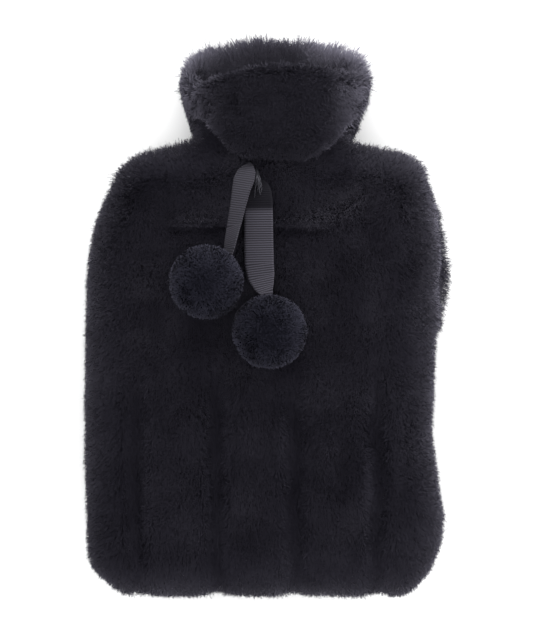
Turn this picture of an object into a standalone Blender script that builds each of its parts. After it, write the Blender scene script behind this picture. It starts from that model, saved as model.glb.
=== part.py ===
"""Plush cover for a hot water bottle, empty, lying on its back with its face up.

The origin is under the middle of the cover, on the surface that it lies on.
+Y runs up to the collar, +X to the right of the face and +Z out of the face.
Sizes are in millimetres and become metres when a mesh is finished.
The solids reach as far as the tips of the pile.
"""

import math
from collections import namedtuple

import bmesh
import bpy
import numpy as np
from mathutils import Vector, noise

NAME = "hot_water_bottle_cover"
MM = 0.001

GAP = 0.3  # between pieces that touch
WALL = 8.0  # backing cloth and its pile together
SEAM_Z = 27.0  # height of the seam that joins the two panels
EDGE_ROUND = 30.0  # how far in from the seam the face goes on rising
EDGE_POWER = 2.2  # 2 is a round edge, more is a squarer one
INSET_REACH = 32.0  # the inner face catches up with the outer one this far in
NUDGE = 0.5  # a corner on the seam looks this far inwards for the way in
NECK_TOP = 127.0

# One row for each place along the pouch. left and right are the seam, which the tufts reach
# past, rise is the front face above the seam, lift is the back panel's underside above the
# surface, bulge is how far the back panel swells to the right below the seam, rows are the
# mesh rows to the next place.
Place = namedtuple("Place", "y left right rise lift bulge rows")
POUCH = (
    Place(-165.0, -85.0, 80.5, 24.0, 0.0, 0.0, 1),
    Place(-162.5, -92.0, 86.5, 24.0, 0.0, 0.0, 1),
    Place(-158.5, -98.0, 91.0, 24.3, 0.0, 0.0, 1),
    Place(-153.0, -103.6, 96.2, 24.6, 0.0, 0.0, 1),
    Place(-145.0, -106.6, 100.0, 25.0, 0.0, 0.0, 1),
    Place(-134.0, -107.0, 103.0, 25.5, 0.0, 0.0, 2),
    Place(-118.0, -106.8, 104.0, 26.0, 0.0, 0.0, 2),
    Place(-98.0, -107.8, 101.4, 26.5, 0.0, 0.0, 3),
    Place(-70.0, -108.3, 98.2, 27.0, 0.0, 0.0, 3),
    Place(-40.0, -107.8, 99.2, 27.5, 0.0, 4.0, 3),
    Place(-10.0, -107.8, 100.2, 28.0, 0.0, 13.0, 3),
    Place(20.0, -107.2, 100.2, 28.0, 0.0, 14.5, 3),
    Place(45.0, -104.6, 100.0, 27.5, 0.0, 14.0, 1),
    Place(51.5, -103.0, 99.8, 27.2, 0.0, 13.4, 1),
    Place(56.0, -101.8, 99.6, 27.0, 0.0, 12.6, 1),
    Place(62.0, -99.8, 99.2, 26.8, 0.0, 11.0, 1),
    Place(74.0, -95.2, 97.8, 25.5, 0.0, 5.5, 1),
    Place(84.5, -89.0, 93.8, 24.0, 0.0, 0.0, 1),
    Place(91.0, -83.5, 89.4, 22.5, 1.5, 0.0, 1),
    Place(94.5, -80.6, 86.4, 21.0, 3.5, 0.0, 1),
    Place(97.6, -74.6, 77.4, 19.5, 6.0, 0.0, 1),
    Place(100.4, -62.0, 62.0, 18.3, 8.5, 0.0, 1),
    Place(103.0, -47.0, 50.5, 17.4, 10.0, 0.0, 1),
    Place(107.0, -38.7, 46.8, 17.0, 10.0, 0.0, 1),
    Place(117.0, -38.7, 46.0, 17.0, 10.0, 0.0, 1),
    Place(NECK_TOP, -38.7, 46.0, 17.0, 10.0, 0.0, 0),
)
PLACE_Y = [place.y for place in POUCH]

# Folds pressed into the front face. depth is the fall at the middle of the fold, width its
# half width, fade the length over which each end dies out.
Fold = namedtuple("Fold", "x0 y0 x1 y1 depth width fade")
CHANNEL_X = (-77.3, -29.4, 17.3, 66.4)
CHANNEL = Fold(0.0, -205.0, 0.0, -18.0, 4.6, 5.5, 50.0)
WRINKLES = (
    Fold(44.0, -112.0, 45.0, -44.0, 1.4, 4.0, 20.0),
    Fold(36.0, 66.0, 60.0, 84.0, 1.8, 4.5, 12.0),
    Fold(52.0, 58.0, 74.0, 72.0, 1.5, 5.0, 12.0),
    Fold(-58.0, 84.0, -34.0, 90.0, 1.2, 5.0, 10.0),
)
SCALLOP = 2.4  # the bottom edge swells this far between the channels
SCALLOP_WIDTH = 7.0

# The crease across the chest: the face stands higher above it and falls away below it.
CREASE_Y = 54.0
CREASE_X = (-62.0, 38.0)
CREASE_STEP = 3.2
CREASE_REACH = 13.0
CREASE_FADE = 14.0

# Mesh columns: steps in from each side of the front, the number between two channels, and
# shares of the width for the plainer back.
MIDDLE_Y = -70.0
LEFT_STEPS = (0.0, 3.5, 10.0, 20.0)
RIGHT_STEPS = (24.0, 14.0, 7.0, 2.8, 0.0)
CHANNEL_COLUMNS = 6
BACK_COLUMNS = (0.0, 0.02, 0.07, 0.15, 0.28, 0.43, 0.57, 0.72, 0.85, 0.93, 0.98, 1.0)
BACK_ROWS = 0.67  # of the front's rows

CROWN = 2.0  # the middle of the face stands this far above its rounded edges
LUMP = 1.1
LUMP_SIZE = 24.0
RIM_LOCK = 2.6  # tufts of pile that stand out along the seam
RIM_JITTER = 0.9
RIM_LUMP_SIZE = 6.0

# The collar: a band folded outwards and down. Its ring is a flattened oval round the neck.
RING_X = 3.7
RING_HALF_WIDTH = 36.0
RING_HALF_HEIGHT = 10.0
RING_FLARE = 5.6  # the mouth is this much wider at the fold than at the neck
RING_POWER = 3.0
LAYER = 7.0
LAYER_GAP = 2.5
COLLAR_STEPS = 48
COLLAR_ROOT = NECK_TOP + GAP
FLARE_START = 118.0
FLARE_LENGTH = 26.0

# One row for each direction round the neck, in degrees: 0 is the front, 90 the right side.
# fold is the top edge, hem the bottom edge, out the space between hem and ring.
Turn = namedtuple("Turn", "angle fold hem out")
COLLAR = (
    Turn(-180, 169.2, 106.6, 10.0),
    Turn(-168, 167.0, 106.6, 10.0),
    Turn(-155, 165.6, 106.6, 10.0),
    Turn(-142, 163.2, 106.6, 9.8),
    Turn(-125, 160.5, 106.6, 9.6),
    Turn(-110, 158.4, 106.6, 9.2),
    Turn(-98, 153.5, 107.6, 9.0),
    Turn(-86, 148.4, 118.5, 9.0),
    Turn(-68, 142.5, 119.5, 9.4),
    Turn(-49, 144.5, 116.5, 11.0),
    Turn(-34, 147.0, 108.5, 13.0),
    Turn(-20, 149.8, 98.5, 15.0),
    Turn(-12, 152.0, 94.0, 15.8),
    Turn(0, 154.2, 92.6, 15.8),
    Turn(12, 153.3, 92.6, 15.8),
    Turn(20, 152.5, 95.0, 15.2),
    Turn(34, 151.0, 101.5, 13.2),
    Turn(50, 149.5, 112.5, 11.0),
    Turn(72, 148.0, 121.0, 9.4),
    Turn(86, 150.0, 120.5, 9.0),
    Turn(98, 154.0, 108.5, 9.0),
    Turn(110, 158.5, 106.6, 9.2),
    Turn(125, 162.0, 106.6, 9.6),
    Turn(140, 164.5, 106.6, 9.8),
    Turn(155, 167.2, 106.6, 10.0),
    Turn(168, 169.0, 106.6, 10.0),
    Turn(180, 169.2, 106.6, 10.0),
)
COLLAR_LUMP = 0.9
COLLAR_LUMP_SIZE = 17.0
HEM_ROUND = 2.5  # the cuff's edge is rounded over this length
HEM_TUFT = 1.3

# The ribbon's two tails. lift is how high the ribbon's middle line runs over the face, turn
# how far the ribbon is turned on its edge, in degrees, wide its true width there.
RIBBON_THICK = 1.0
Step = namedtuple("Step", "x y lift turn wide")
TAIL_LEFT = (
    Step(-8.8, 90.4, 2.0, -20.0, 5.0),
    Step(-9.8, 89.2, 4.0, -28.0, 10.5),
    Step(-11.0, 86.8, 5.8, -34.0, 14.0),
    Step(-12.6, 82.4, 7.2, -42.0, 16.0),
    Step(-14.5, 75.5, 8.2, -46.0, 16.0),
    Step(-16.4, 66.0, 8.6, -50.0, 16.0),
    Step(-18.4, 54.5, 10.4, -54.0, 16.0),
    Step(-20.2, 45.0, 13.8, -58.0, 15.0),
    Step(-21.0, 40.2, 15.6, -60.0, 13.0),
)
TAIL_RIGHT = (
    Step(-4.6, 83.0, 1.4, 0.0, 6.0),
    Step(-4.6, 80.6, 3.8, 0.0, 10.5),
    Step(-4.6, 77.0, 5.4, 0.0, 14.5),
    Step(-4.5, 71.5, 5.8, 0.0, 16.2),
    Step(-4.4, 60.0, 4.6, 0.0, 16.4),
    Step(-4.3, 46.0, 5.4, 0.0, 16.6),
    Step(-4.0, 32.0, 7.4, 0.0, 16.6),
    Step(-3.2, 24.0, 10.0, 4.0, 16.0),
    Step(-1.6, 18.0, 13.0, 8.0, 12.0),
    Step(-0.2, 14.6, 15.4, 8.0, 8.0),
)

# The pompoms: a core with tapered locks fused to it, pressed a little flat underneath.
Ball = namedtuple("Ball", "name x y seed")
POMPOMS = (
    Ball("pompom_left", -36.1, 20.9, 3),
    Ball("pompom_right", 1.8, -8.2, 11),
)
POMPOM_RADIUS = 22.5
POMPOM_CORE = 17.0
POMPOM_SPREAD = 0.9
POMPOM_PRESS = 2.0
POMPOM_SUBDIVISIONS = 2
LOCK_TAPER = 0.62

FUR_COLOUR = (0.013, 0.012, 0.015, 1.0)
RIBBON_COLOUR = (0.085, 0.080, 0.098, 1.0)


def smoothstep(value):
    """0 below 0, 1 above 1, and a smooth rise between."""
    value = min(max(value, 0.0), 1.0)
    return value * value * (3.0 - 2.0 * value)


def at(field, y):
    """A column of the pouch table at a place between its rows."""
    return float(np.interp(y, PLACE_Y, [getattr(place, field) for place in POUCH]))


def lump(x, y, z, size=LUMP_SIZE):
    """Uneven pile: a smooth noise between about -1 and 1."""
    return 2.0 * noise.noise(Vector((x, y, z)) / size)


def rim_line():
    """The seam seen from above, as two arrays of corners, from neck to neck.

    It runs on past the neck's open end, so that the nearest point there is beside it.
    """
    left = [(place.left, place.y) for place in POUCH]
    right = [(place.right, place.y) for place in POUCH]
    left.append((left[-1][0], NECK_TOP + 2 * INSET_REACH))
    right.append((right[-1][0], NECK_TOP + 2 * INSET_REACH))
    line = np.array(left[::-1] + right)
    return line[:-1], line[1:]


RIM_START, RIM_END = rim_line()


def nearest_on_rim(x, y):
    """The distance to the seam, and the direction from its nearest point."""
    point = np.array((x, y))
    along = RIM_END - RIM_START
    share = ((point - RIM_START) * along).sum(axis=1) / (along * along).sum(axis=1)
    foot = RIM_START + np.clip(share, 0.0, 1.0)[:, None] * along
    away = point - foot
    distances = np.hypot(away[:, 0], away[:, 1])
    index = int(distances.argmin())
    return float(distances[index]), away[index]


def edge_curve(distance, reach):
    """The rounded rise from the seam: 0 at the seam, 1 where the face is level."""
    share = 1.0 - min(max(distance / reach, 0.0), 1.0)
    return (1.0 - share**EDGE_POWER) ** (1.0 / EDGE_POWER)


def fold_depth(fold, x, y):
    """How far a fold presses the face in at one point."""
    along = Vector((fold.x1 - fold.x0, fold.y1 - fold.y0))
    from_start = Vector((x - fold.x0, y - fold.y0))
    run = from_start.dot(along) / along.length
    aside = abs(from_start.cross(along)) / along.length
    ends = smoothstep(run / fold.fade) * smoothstep((along.length - run) / fold.fade)
    return fold.depth * ends * math.exp(-((aside / fold.width) ** 2))


def crease(x, y):
    """The step across the chest: proud above the crease, pressed in below it."""
    across = smoothstep((x - CREASE_X[0]) / CREASE_FADE)
    across *= smoothstep((CREASE_X[1] - x) / CREASE_FADE)
    above = y - CREASE_Y
    side = 0.5 if above > 0 else -0.5
    return side * CREASE_STEP * across * max(0.0, 1.0 - abs(above) / CREASE_REACH)


def front_height(x, y):
    """The front face's height over the surface that the cover lies on."""
    distance, _ = nearest_on_rim(x, y)
    edge = edge_curve(distance, EDGE_ROUND)
    folds = sum(fold_depth(fold, x, y) for fold in WRINKLES)
    for channel_x in CHANNEL_X:
        folds += fold_depth(CHANNEL._replace(x0=channel_x, x1=channel_x), x, y)
    crown = CROWN * smoothstep((distance - 0.5 * EDGE_ROUND) / (2.0 * EDGE_ROUND))
    relief = crown + crease(x, y) - folds + LUMP * lump(x, y, 0.0)
    return SEAM_Z + at("rise", y) * edge + relief * edge


def bottom_scallop(x):
    """The bottom edge swells between the channels and dips at each."""
    nearest = min(abs(x - channel_x) for channel_x in CHANNEL_X)
    return SCALLOP * (1.0 - math.exp(-((nearest / SCALLOP_WIDTH) ** 2)))


def mesh_rows(share=1.0):
    """The mesh rows along the pouch, from the bottom edge to the neck's open end."""
    rows = []
    for place, following in zip(POUCH, POUCH[1:]):
        count = max(1, round(place.rows * share))
        rows += list(np.linspace(place.y, following.y, count, endpoint=False))
    return rows + [NECK_TOP]


def front_columns():
    """Shares of the width, close at both rims, with a mesh line on every channel."""
    left = at("left", MIDDLE_Y)
    right = at("right", MIDDLE_Y)
    places = [left + step for step in LEFT_STEPS]
    for start, end in zip(CHANNEL_X, CHANNEL_X[1:]):
        places += list(np.linspace(start, end, CHANNEL_COLUMNS, endpoint=False))
    places += [CHANNEL_X[-1]]
    places += [right - step for step in RIGHT_STEPS]
    return [(place - left) / (right - left) for place in places]


def place_of(column, row, y_rows, columns):
    """The plan position of one mesh corner of a panel's outer face."""
    y = y_rows[row]
    left = at("left", y)
    x = left + (at("right", y) - left) * columns[column]
    if row == 0:
        y -= bottom_scallop(x)
    return x, y


def inner_place(x, y):
    """The same corner on the inner face: the wall's thickness further in."""
    distance, away = nearest_on_rim(x, y)
    if distance >= INSET_REACH:
        return x, y, distance
    wanted = WALL + distance * (1.0 - WALL / INSET_REACH)
    if distance < NUDGE:
        inward = math.copysign(NUDGE, RING_X - x)
        upward = NUDGE if y < PLACE_Y[0] + NUDGE else 0.0
        _, away = nearest_on_rim(x + inward, y + upward)
    away = away / np.hypot(*away)
    moved = wanted - distance
    return x + away[0] * moved, y + away[1] * moved, wanted


def panel_mesh(columns, y_rows, outer, inner):
    """A shell between an outer and an inner face, both laid out on one grid.

    outer and inner give a corner's point for a column and a row.
    """
    mesh = bmesh.new()
    across = len(columns) - 1
    along = len(y_rows) - 1
    bmesh.ops.create_grid(mesh, x_segments=across, y_segments=along, size=1.0)
    cell = mesh.verts.layers.float_vector.new("cell")
    for vert in mesh.verts:
        column = round((vert.co.x + 1.0) / 2.0 * across)
        row = round((vert.co.y + 1.0) / 2.0 * along)
        vert[cell] = (column, row, 0.0)
    extruded = bmesh.ops.extrude_face_region(mesh, geom=mesh.faces[:], use_keep_orig=True)
    inside = {item for item in extruded["geom"] if isinstance(item, bmesh.types.BMVert)}
    for vert in mesh.verts:
        column = round(vert[cell][0])
        row = round(vert[cell][1])
        skin = inner if vert in inside else outer
        vert.co = skin(column, row)
    return mesh


def finish(mesh, name, material, parts, parent):
    """Turn a bmesh in millimetres into a named object in metres, its faces outwards."""
    bmesh.ops.recalc_face_normals(mesh, faces=mesh.faces)
    if mesh.calc_volume(signed=True) < 0.0:
        bmesh.ops.reverse_faces(mesh, faces=mesh.faces)
    bmesh.ops.scale(mesh, vec=(MM, MM, MM), verts=mesh.verts)
    data = bpy.data.meshes.new(name)
    mesh.to_mesh(data)
    mesh.free()
    data.shade_smooth()
    data.materials.append(material)
    item = bpy.data.objects.new(name, data)
    item.parent = parent
    parts.objects.link(item)
    return item


def tuft_rim(mesh, height):
    """Add a tuft of pile to each edge along the seam, all at the seam's height."""
    centre = Vector((0.5 * (at("left", 0.0) + at("right", 0.0)), 0.0))
    rim = []
    for edge in mesh.edges:
        level = all(abs(vert.co.z - height) < 1e-4 for vert in edge.verts)
        middle = (edge.verts[0].co + edge.verts[1].co) / 2.0
        distance, _ = nearest_on_rim(middle.x, middle.y)
        if level and (distance < 0.1 * WALL or middle.y < PLACE_Y[0]):
            rim.append(edge)
    made = bmesh.ops.subdivide_edges(mesh, edges=rim, cuts=1)
    fresh = [item for item in made["geom_inner"] if isinstance(item, bmesh.types.BMVert)]
    for vert in fresh:
        ends = [edge.other_vert(vert).co.xy for edge in vert.link_edges]
        along = (ends[0] - ends[1]).normalized()
        out = Vector((along.y, -along.x))
        if out.dot(vert.co.xy - centre) < 0:
            out.negate()
        reach = RIM_LOCK + RIM_JITTER * lump(vert.co.x, vert.co.y, SEAM_Z, RIM_LUMP_SIZE)
        vert.co.x += out.x * reach
        vert.co.y += out.y * reach


def make_front_panel(material, parts, parent):
    """The face of the cover with its channels, crease and front half of the neck."""
    columns = front_columns()
    y_rows = mesh_rows()

    def outer(column, row):
        x, y = place_of(column, row, y_rows, columns)
        on_rim = column in (0, len(columns) - 1) or row == 0
        return x, y, SEAM_Z if on_rim else front_height(x, y)

    def inner(column, row):
        x, y = place_of(column, row, y_rows, columns)
        x, y, distance = inner_place(x, max(y, PLACE_Y[0]))
        rise = at("rise", y) - WALL
        on_rim = column in (0, len(columns) - 1) or row == 0
        edge = 0.0 if on_rim else edge_curve(distance - WALL, EDGE_ROUND - WALL)
        return x, y, SEAM_Z + rise * edge

    mesh = panel_mesh(columns, y_rows, outer, inner)
    tuft_rim(mesh, SEAM_Z)
    return finish(mesh, "front_panel", material, parts, parent)


def make_back_panel(material, parts, parent):
    """The back of the cover, flat where it lies, with the back half of the neck."""
    columns = BACK_COLUMNS
    y_rows = mesh_rows(BACK_ROWS)
    rim_z = SEAM_Z - GAP

    def outer(column, row):
        x, y = place_of(column, row, y_rows, columns)
        on_rim = column in (0, len(columns) - 1) or row == 0
        distance, _ = nearest_on_rim(x, y)
        edge = 0.0 if on_rim else edge_curve(distance, EDGE_ROUND)
        if x > 0.0:
            swell = 0.0 if on_rim else 1.0 - min(distance / EDGE_ROUND, 1.0)
            x += at("bulge", y) * swell
        return x, y, rim_z - (rim_z - at("lift", y)) * edge

    def inner(column, row):
        x, y = place_of(column, row, y_rows, columns)
        x, y, distance = inner_place(x, max(y, PLACE_Y[0]))
        depth = rim_z - at("lift", y) - WALL
        on_rim = column in (0, len(columns) - 1) or row == 0
        edge = 0.0 if on_rim else edge_curve(distance - WALL, EDGE_ROUND - WALL)
        return x, y, rim_z - depth * edge

    mesh = panel_mesh(columns, y_rows, outer, inner)
    return finish(mesh, "back_panel", material, parts, parent)


def ring_point(angle, out, y):
    """A point at one direction round the neck, a distance out from the mouth's wall."""
    flare = RING_FLARE * smoothstep((y - FLARE_START) / FLARE_LENGTH)
    sine = math.sin(angle)
    cosine = math.cos(angle)
    power = 2.0 / RING_POWER
    x = RING_X + (RING_HALF_WIDTH + flare + out) * math.copysign(abs(sine) ** power, sine)
    z = SEAM_Z + (RING_HALF_HEIGHT + out) * math.copysign(abs(cosine) ** power, cosine)
    return Vector((x, y, z))


def collar_section(fold, hem, out):
    """The folded band cut through: pairs of distance out from the mouth and place along."""
    bend_out = LAYER + LAYER_GAP / 2.0
    bend_in = LAYER_GAP / 2.0
    bend_y = fold - bend_out
    section = [(0.0, y) for y in np.linspace(COLLAR_ROOT, bend_y, 4, endpoint=False)]
    for turn in np.linspace(math.pi, 0.0, 7):
        section.append((bend_out + bend_out * math.cos(turn), bend_y + bend_out * math.sin(turn)))
    cuff = np.linspace(0.0, 1.0, 5)[1:]
    hem_y = hem + HEM_ROUND
    for share in cuff:
        distance = 2.0 * bend_out + (out + LAYER - 2.0 * bend_out) * share
        section.append((distance, bend_y + (hem_y - bend_y) * share))
    section.append((out + 0.5 * LAYER, hem))
    for share in cuff[::-1]:
        distance = LAYER + LAYER_GAP + (out - LAYER - LAYER_GAP) * share
        section.append((distance, bend_y + (hem_y - bend_y) * share))
    for turn in np.linspace(0.0, math.pi, 4):
        section.append((bend_out + bend_in * math.cos(turn), bend_y + bend_in * math.sin(turn)))
    section += [(LAYER, y) for y in np.linspace(bend_y, COLLAR_ROOT, 4)[1:]]
    return section


def make_collar(material, parts, parent):
    """The folded collar as a closed loft: a folded section carried round the neck."""
    angles = [turn.angle for turn in COLLAR]
    section_size = len(collar_section(COLLAR[0].fold, COLLAR[0].hem, COLLAR[0].out))
    mesh = bmesh.new()
    bmesh.ops.create_grid(mesh, x_segments=COLLAR_STEPS, y_segments=section_size, size=1.0)
    for vert in mesh.verts:
        step = round((vert.co.x + 1.0) / 2.0 * COLLAR_STEPS) % COLLAR_STEPS
        index = round((vert.co.y + 1.0) / 2.0 * section_size) % section_size
        degrees = -180.0 + 360.0 * step / COLLAR_STEPS
        fold = np.interp(degrees, angles, [turn.fold for turn in COLLAR])
        hem = np.interp(degrees, angles, [turn.hem for turn in COLLAR])
        space = np.interp(degrees, angles, [turn.out for turn in COLLAR])
        tuft = HEM_TUFT if step % 2 else 0.0
        out, y = collar_section(fold, hem + tuft, space)[index]
        outside = smoothstep((out - LAYER - LAYER_GAP) / LAYER)
        point = ring_point(math.radians(degrees), out, y)
        swell = COLLAR_LUMP * outside * lump(point.x, point.y, point.z, COLLAR_LUMP_SIZE)
        point = ring_point(math.radians(degrees), out + swell, y)
        point.z = max(point.z, 0.0)
        vert.co = point
    bmesh.ops.remove_doubles(mesh, verts=mesh.verts, dist=0.001)
    return finish(mesh, "collar", material, parts, parent)


def make_tail(name, steps, material, parts, parent):
    """One tail of the ribbon: a strip along its steps, thickened on both sides."""
    mesh = bmesh.new()
    along = len(steps) - 1
    bmesh.ops.create_grid(mesh, x_segments=2, y_segments=along, size=1.0)
    points = []
    for step in steps:
        points.append(Vector((step.x, step.y, front_height(step.x, step.y) + step.lift)))
    for vert in mesh.verts:
        index = along - round((vert.co.y + 1.0) / 2.0 * along)
        step = steps[index]
        run = points[min(index + 1, along)] - points[max(index - 1, 0)]
        level = run.normalized().cross(Vector((0.0, 0.0, 1.0))).normalized()
        up = level.cross(run.normalized())
        turn = math.radians(step.turn)
        across = level * math.cos(turn) + up * math.sin(turn)
        vert.co = points[index] - across * (vert.co.x * step.wide / 2.0)
    item = finish(mesh, name, material, parts, parent)
    thick = item.modifiers.new("thickness", "SOLIDIFY")
    thick.thickness = RIBBON_THICK * MM
    thick.offset = 0.0
    return item


def make_pompom(ball, material, parts, parent):
    """A plush ball: every face of a core drawn out into a tapered lock."""
    mesh = bmesh.new()
    bmesh.ops.create_icosphere(mesh, subdivisions=POMPOM_SUBDIVISIONS, radius=POMPOM_CORE)
    locks = bmesh.ops.extrude_discrete_faces(mesh, faces=mesh.faces[:])["faces"]
    for index, face in enumerate(locks):
        centre = face.calc_center_median()
        wobble = noise.noise(Vector((index * 0.7, ball.seed, 0.5)))
        reach = POMPOM_RADIUS + POMPOM_SPREAD * wobble
        tip = centre.normalized() * reach
        for vert in face.verts:
            vert.co = tip + (vert.co - centre) * LOCK_TAPER
    middle_z = front_height(ball.x, ball.y) + GAP + POMPOM_RADIUS - POMPOM_PRESS
    for vert in mesh.verts:
        floor = front_height(ball.x + vert.co.x, ball.y + vert.co.y) + 3.0 * GAP
        vert.co.z = max(vert.co.z, floor - middle_z)
    item = finish(mesh, ball.name, material, parts, parent)
    item.location = Vector((ball.x, ball.y, middle_z)) * MM
    return item


def make_material(name, colour, roughness):
    """A plain Principled finish."""
    material = bpy.data.materials.new(name)
    material.use_nodes = True
    shader = material.node_tree.nodes["Principled BSDF"]
    shader.inputs["Base Color"].default_value = colour
    shader.inputs["Roughness"].default_value = roughness
    shader.inputs["Metallic"].default_value = 0.0
    return material


def centre_on_origin(parent, items):
    """Shift the cover so that its box stands on the origin."""
    bpy.context.view_layer.update()
    graph = bpy.context.evaluated_depsgraph_get()
    corners = []
    for item in items:
        shown = item.evaluated_get(graph)
        corners += [shown.matrix_world @ vert.co for vert in shown.data.vertices]
    low = Vector([min(corner[axis] for corner in corners) for axis in range(3)])
    high = Vector([max(corner[axis] for corner in corners) for axis in range(3)])
    parent.location = (-(low.x + high.x) / 2.0, -(low.y + high.y) / 2.0, -low.z)


def main():
    """Build the cover."""
    for item in list(bpy.data.objects):
        bpy.data.objects.remove(item)
    parts = bpy.data.collections.new(NAME)
    bpy.context.scene.collection.children.link(parts)
    parent = bpy.data.objects.new(NAME, None)
    parts.objects.link(parent)

    items = [
        make_front_panel(make_material("front_fur", FUR_COLOUR, 0.95), parts, parent),
        make_back_panel(make_material("back_fur", FUR_COLOUR, 0.95), parts, parent),
        make_collar(make_material("collar_fur", FUR_COLOUR, 0.95), parts, parent),
    ]
    for name, steps in (("ribbon_left", TAIL_LEFT), ("ribbon_right", TAIL_RIGHT)):
        ribbon = make_material(name + "_weave", RIBBON_COLOUR, 0.7)
        items.append(make_tail(name, steps, ribbon, parts, parent))
    for ball in POMPOMS:
        plush = make_material(ball.name + "_plush", FUR_COLOUR, 0.95)
        items.append(make_pompom(ball, plush, parts, parent))
    centre_on_origin(parent, items)


main()
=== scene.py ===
"""Looks of a plush hot water bottle cover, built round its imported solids.

Each piece of cloth is a thin sheet in the shape of its solid, and its pile is grown on it as
fine tapered fibres that are combed, clumped and toned by smooth fields. Lengths in the classes
are in millimetres, in the cover's own drawing, and become metres in the frame at the end.
"""

import logging
import math
from abc import ABC, abstractmethod
from dataclasses import dataclass, fields, replace
from enum import Enum
from typing import NamedTuple

import bmesh
import bpy
import numpy as np
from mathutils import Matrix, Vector, kdtree, noise


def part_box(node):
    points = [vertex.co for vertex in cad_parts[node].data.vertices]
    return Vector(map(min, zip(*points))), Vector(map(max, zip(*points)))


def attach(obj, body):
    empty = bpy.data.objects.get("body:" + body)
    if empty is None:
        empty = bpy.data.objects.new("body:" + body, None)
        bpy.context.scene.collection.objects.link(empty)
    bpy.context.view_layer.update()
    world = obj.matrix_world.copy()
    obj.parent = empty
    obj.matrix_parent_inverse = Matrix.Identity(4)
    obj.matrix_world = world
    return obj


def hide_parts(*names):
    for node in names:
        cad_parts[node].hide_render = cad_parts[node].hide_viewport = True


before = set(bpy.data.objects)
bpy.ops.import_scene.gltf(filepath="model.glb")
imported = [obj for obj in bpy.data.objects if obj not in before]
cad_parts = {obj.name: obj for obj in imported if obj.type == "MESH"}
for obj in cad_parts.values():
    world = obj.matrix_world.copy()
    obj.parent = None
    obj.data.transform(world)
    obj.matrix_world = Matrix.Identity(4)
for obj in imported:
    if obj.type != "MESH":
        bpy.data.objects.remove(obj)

LOG = logging.getLogger("cover")

MM = 0.001
BODY = "root"
TONE_MAP = "OFBake"  # u is a fibre's tone, v runs from its root to its tip
WEAVE_MAP = "weave"  # millimetres across and along a cloth
COLOURS = {"data_type": "RGBA"}  # what a Mix node mixes

Array = np.ndarray


# The drawing's tables, in millimetres.


class Place(NamedTuple):
    """The pouch at one place along it: its seam, its front and its back."""

    y: float
    left: float
    right: float
    rise: float
    lift: float
    bulge: float


class Fold(NamedTuple):
    """A soft trough pressed into the face from one point to another."""

    x0: float
    y0: float
    x1: float
    y1: float
    depth: float
    width: float
    fade: float


class Turn(NamedTuple):
    """The collar in one direction round the neck, in degrees: 0 is the front."""

    angle: float
    fold: float
    hem: float
    out: float


class Patch(NamedTuple):
    """A soft patch where the pile is lighter, or darker where its gain is below 0."""

    x: float
    y: float
    wide: float
    tall: float
    turn: float  # degrees
    gain: float


class Rim(NamedTuple):
    """How far the front's right rim stands out past its even swell, at one place along it."""

    y: float
    out: float


class Step(NamedTuple):
    """The ribbon at one place along it."""

    x: float
    y: float
    lift: float
    turn: float
    wide: float


class Field(NamedTuple):
    """Smooth noise: how strong it is, how far apart its lumps lie, and its seed."""

    gain: float
    size: float
    seed: float

    def at(self, points: Array) -> Array:
        """The noise at points, which are in millimetres along the last axis."""
        return self.gain * uneven(points, self.size, self.seed)


class Ramp(NamedTuple):
    """A smooth rise from 0 to 1: where it starts, and its run."""

    start: float
    run: float

    def at(self, value: Array) -> Array:
        """How far the rise has come."""
        return smoothstep((value - self.start) / self.run)


class Swell(NamedTuple):
    """A soft hump: its middle, its width and its height."""

    middle: float
    width: float
    gain: float = 1.0

    def at(self, value: Array) -> Array:
        """How high the hump is."""
        return self.gain * np.exp(-(((value - self.middle) / self.width) ** 2))


SEAM_Z = 27.0
GAP = 0.3
NECK_TOP = 127.0
EDGE_ROUND = 30.0
EDGE_POWER = 2.2
RELIEF_STEP = 2.0  # the run over which a slope is measured
SEAM_BLUR = 0.3  # nearer to the seam than this, the way out is the seam's own
RIB_PITCH = 1.42  # of the ribbon

POUCH = (
    Place(-165.0, -83.4, 82.6, 24.0, 0.0, 0.0),
    Place(-162.5, -90.4, 88.9, 24.0, 0.0, 0.0),
    Place(-158.5, -96.6, 93.2, 24.3, 0.0, 0.0),
    Place(-153.0, -102.5, 97.9, 24.6, 0.0, 0.0),
    Place(-145.0, -106.2, 101.6, 25.0, 0.0, 0.0),
    Place(-134.0, -107.0, 104.6, 25.5, 0.0, 0.0),
    Place(-118.0, -106.8, 105.2, 26.0, 0.0, 0.0),
    Place(-98.0, -107.8, 102.0, 26.5, 0.0, 0.0),
    Place(-70.0, -108.3, 98.2, 27.0, 0.0, 0.0),
    Place(-40.0, -107.8, 99.2, 27.5, 0.0, 4.0),
    Place(-10.0, -107.8, 100.2, 28.0, 0.0, 13.0),
    Place(20.0, -107.2, 100.2, 28.0, 0.0, 14.5),
    Place(45.0, -104.6, 100.0, 27.5, 0.0, 14.0),
    Place(51.5, -103.0, 99.8, 27.2, 0.0, 13.4),
    Place(56.0, -101.8, 99.6, 27.0, 0.0, 12.6),
    Place(62.0, -99.8, 99.6, 26.8, 0.0, 11.0),
    Place(74.0, -95.2, 98.4, 25.5, 0.0, 5.5),
    Place(84.5, -88.6, 94.6, 24.0, 0.0, 0.0),
    Place(91.0, -82.0, 90.2, 22.5, 1.5, 0.0),
    Place(94.5, -77.0, 86.2, 21.0, 3.5, 0.0),
    Place(97.6, -68.4, 75.4, 19.5, 6.0, 0.0),
    Place(100.4, -55.5, 58.5, 18.3, 8.5, 0.0),
    Place(103.0, -45.0, 49.8, 17.4, 10.0, 0.0),
    Place(107.0, -38.7, 46.8, 17.0, 10.0, 0.0),
    Place(117.0, -38.7, 46.0, 17.0, 10.0, 0.0),
    Place(NECK_TOP, -38.7, 46.0, 17.0, 10.0, 0.0),
)

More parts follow.
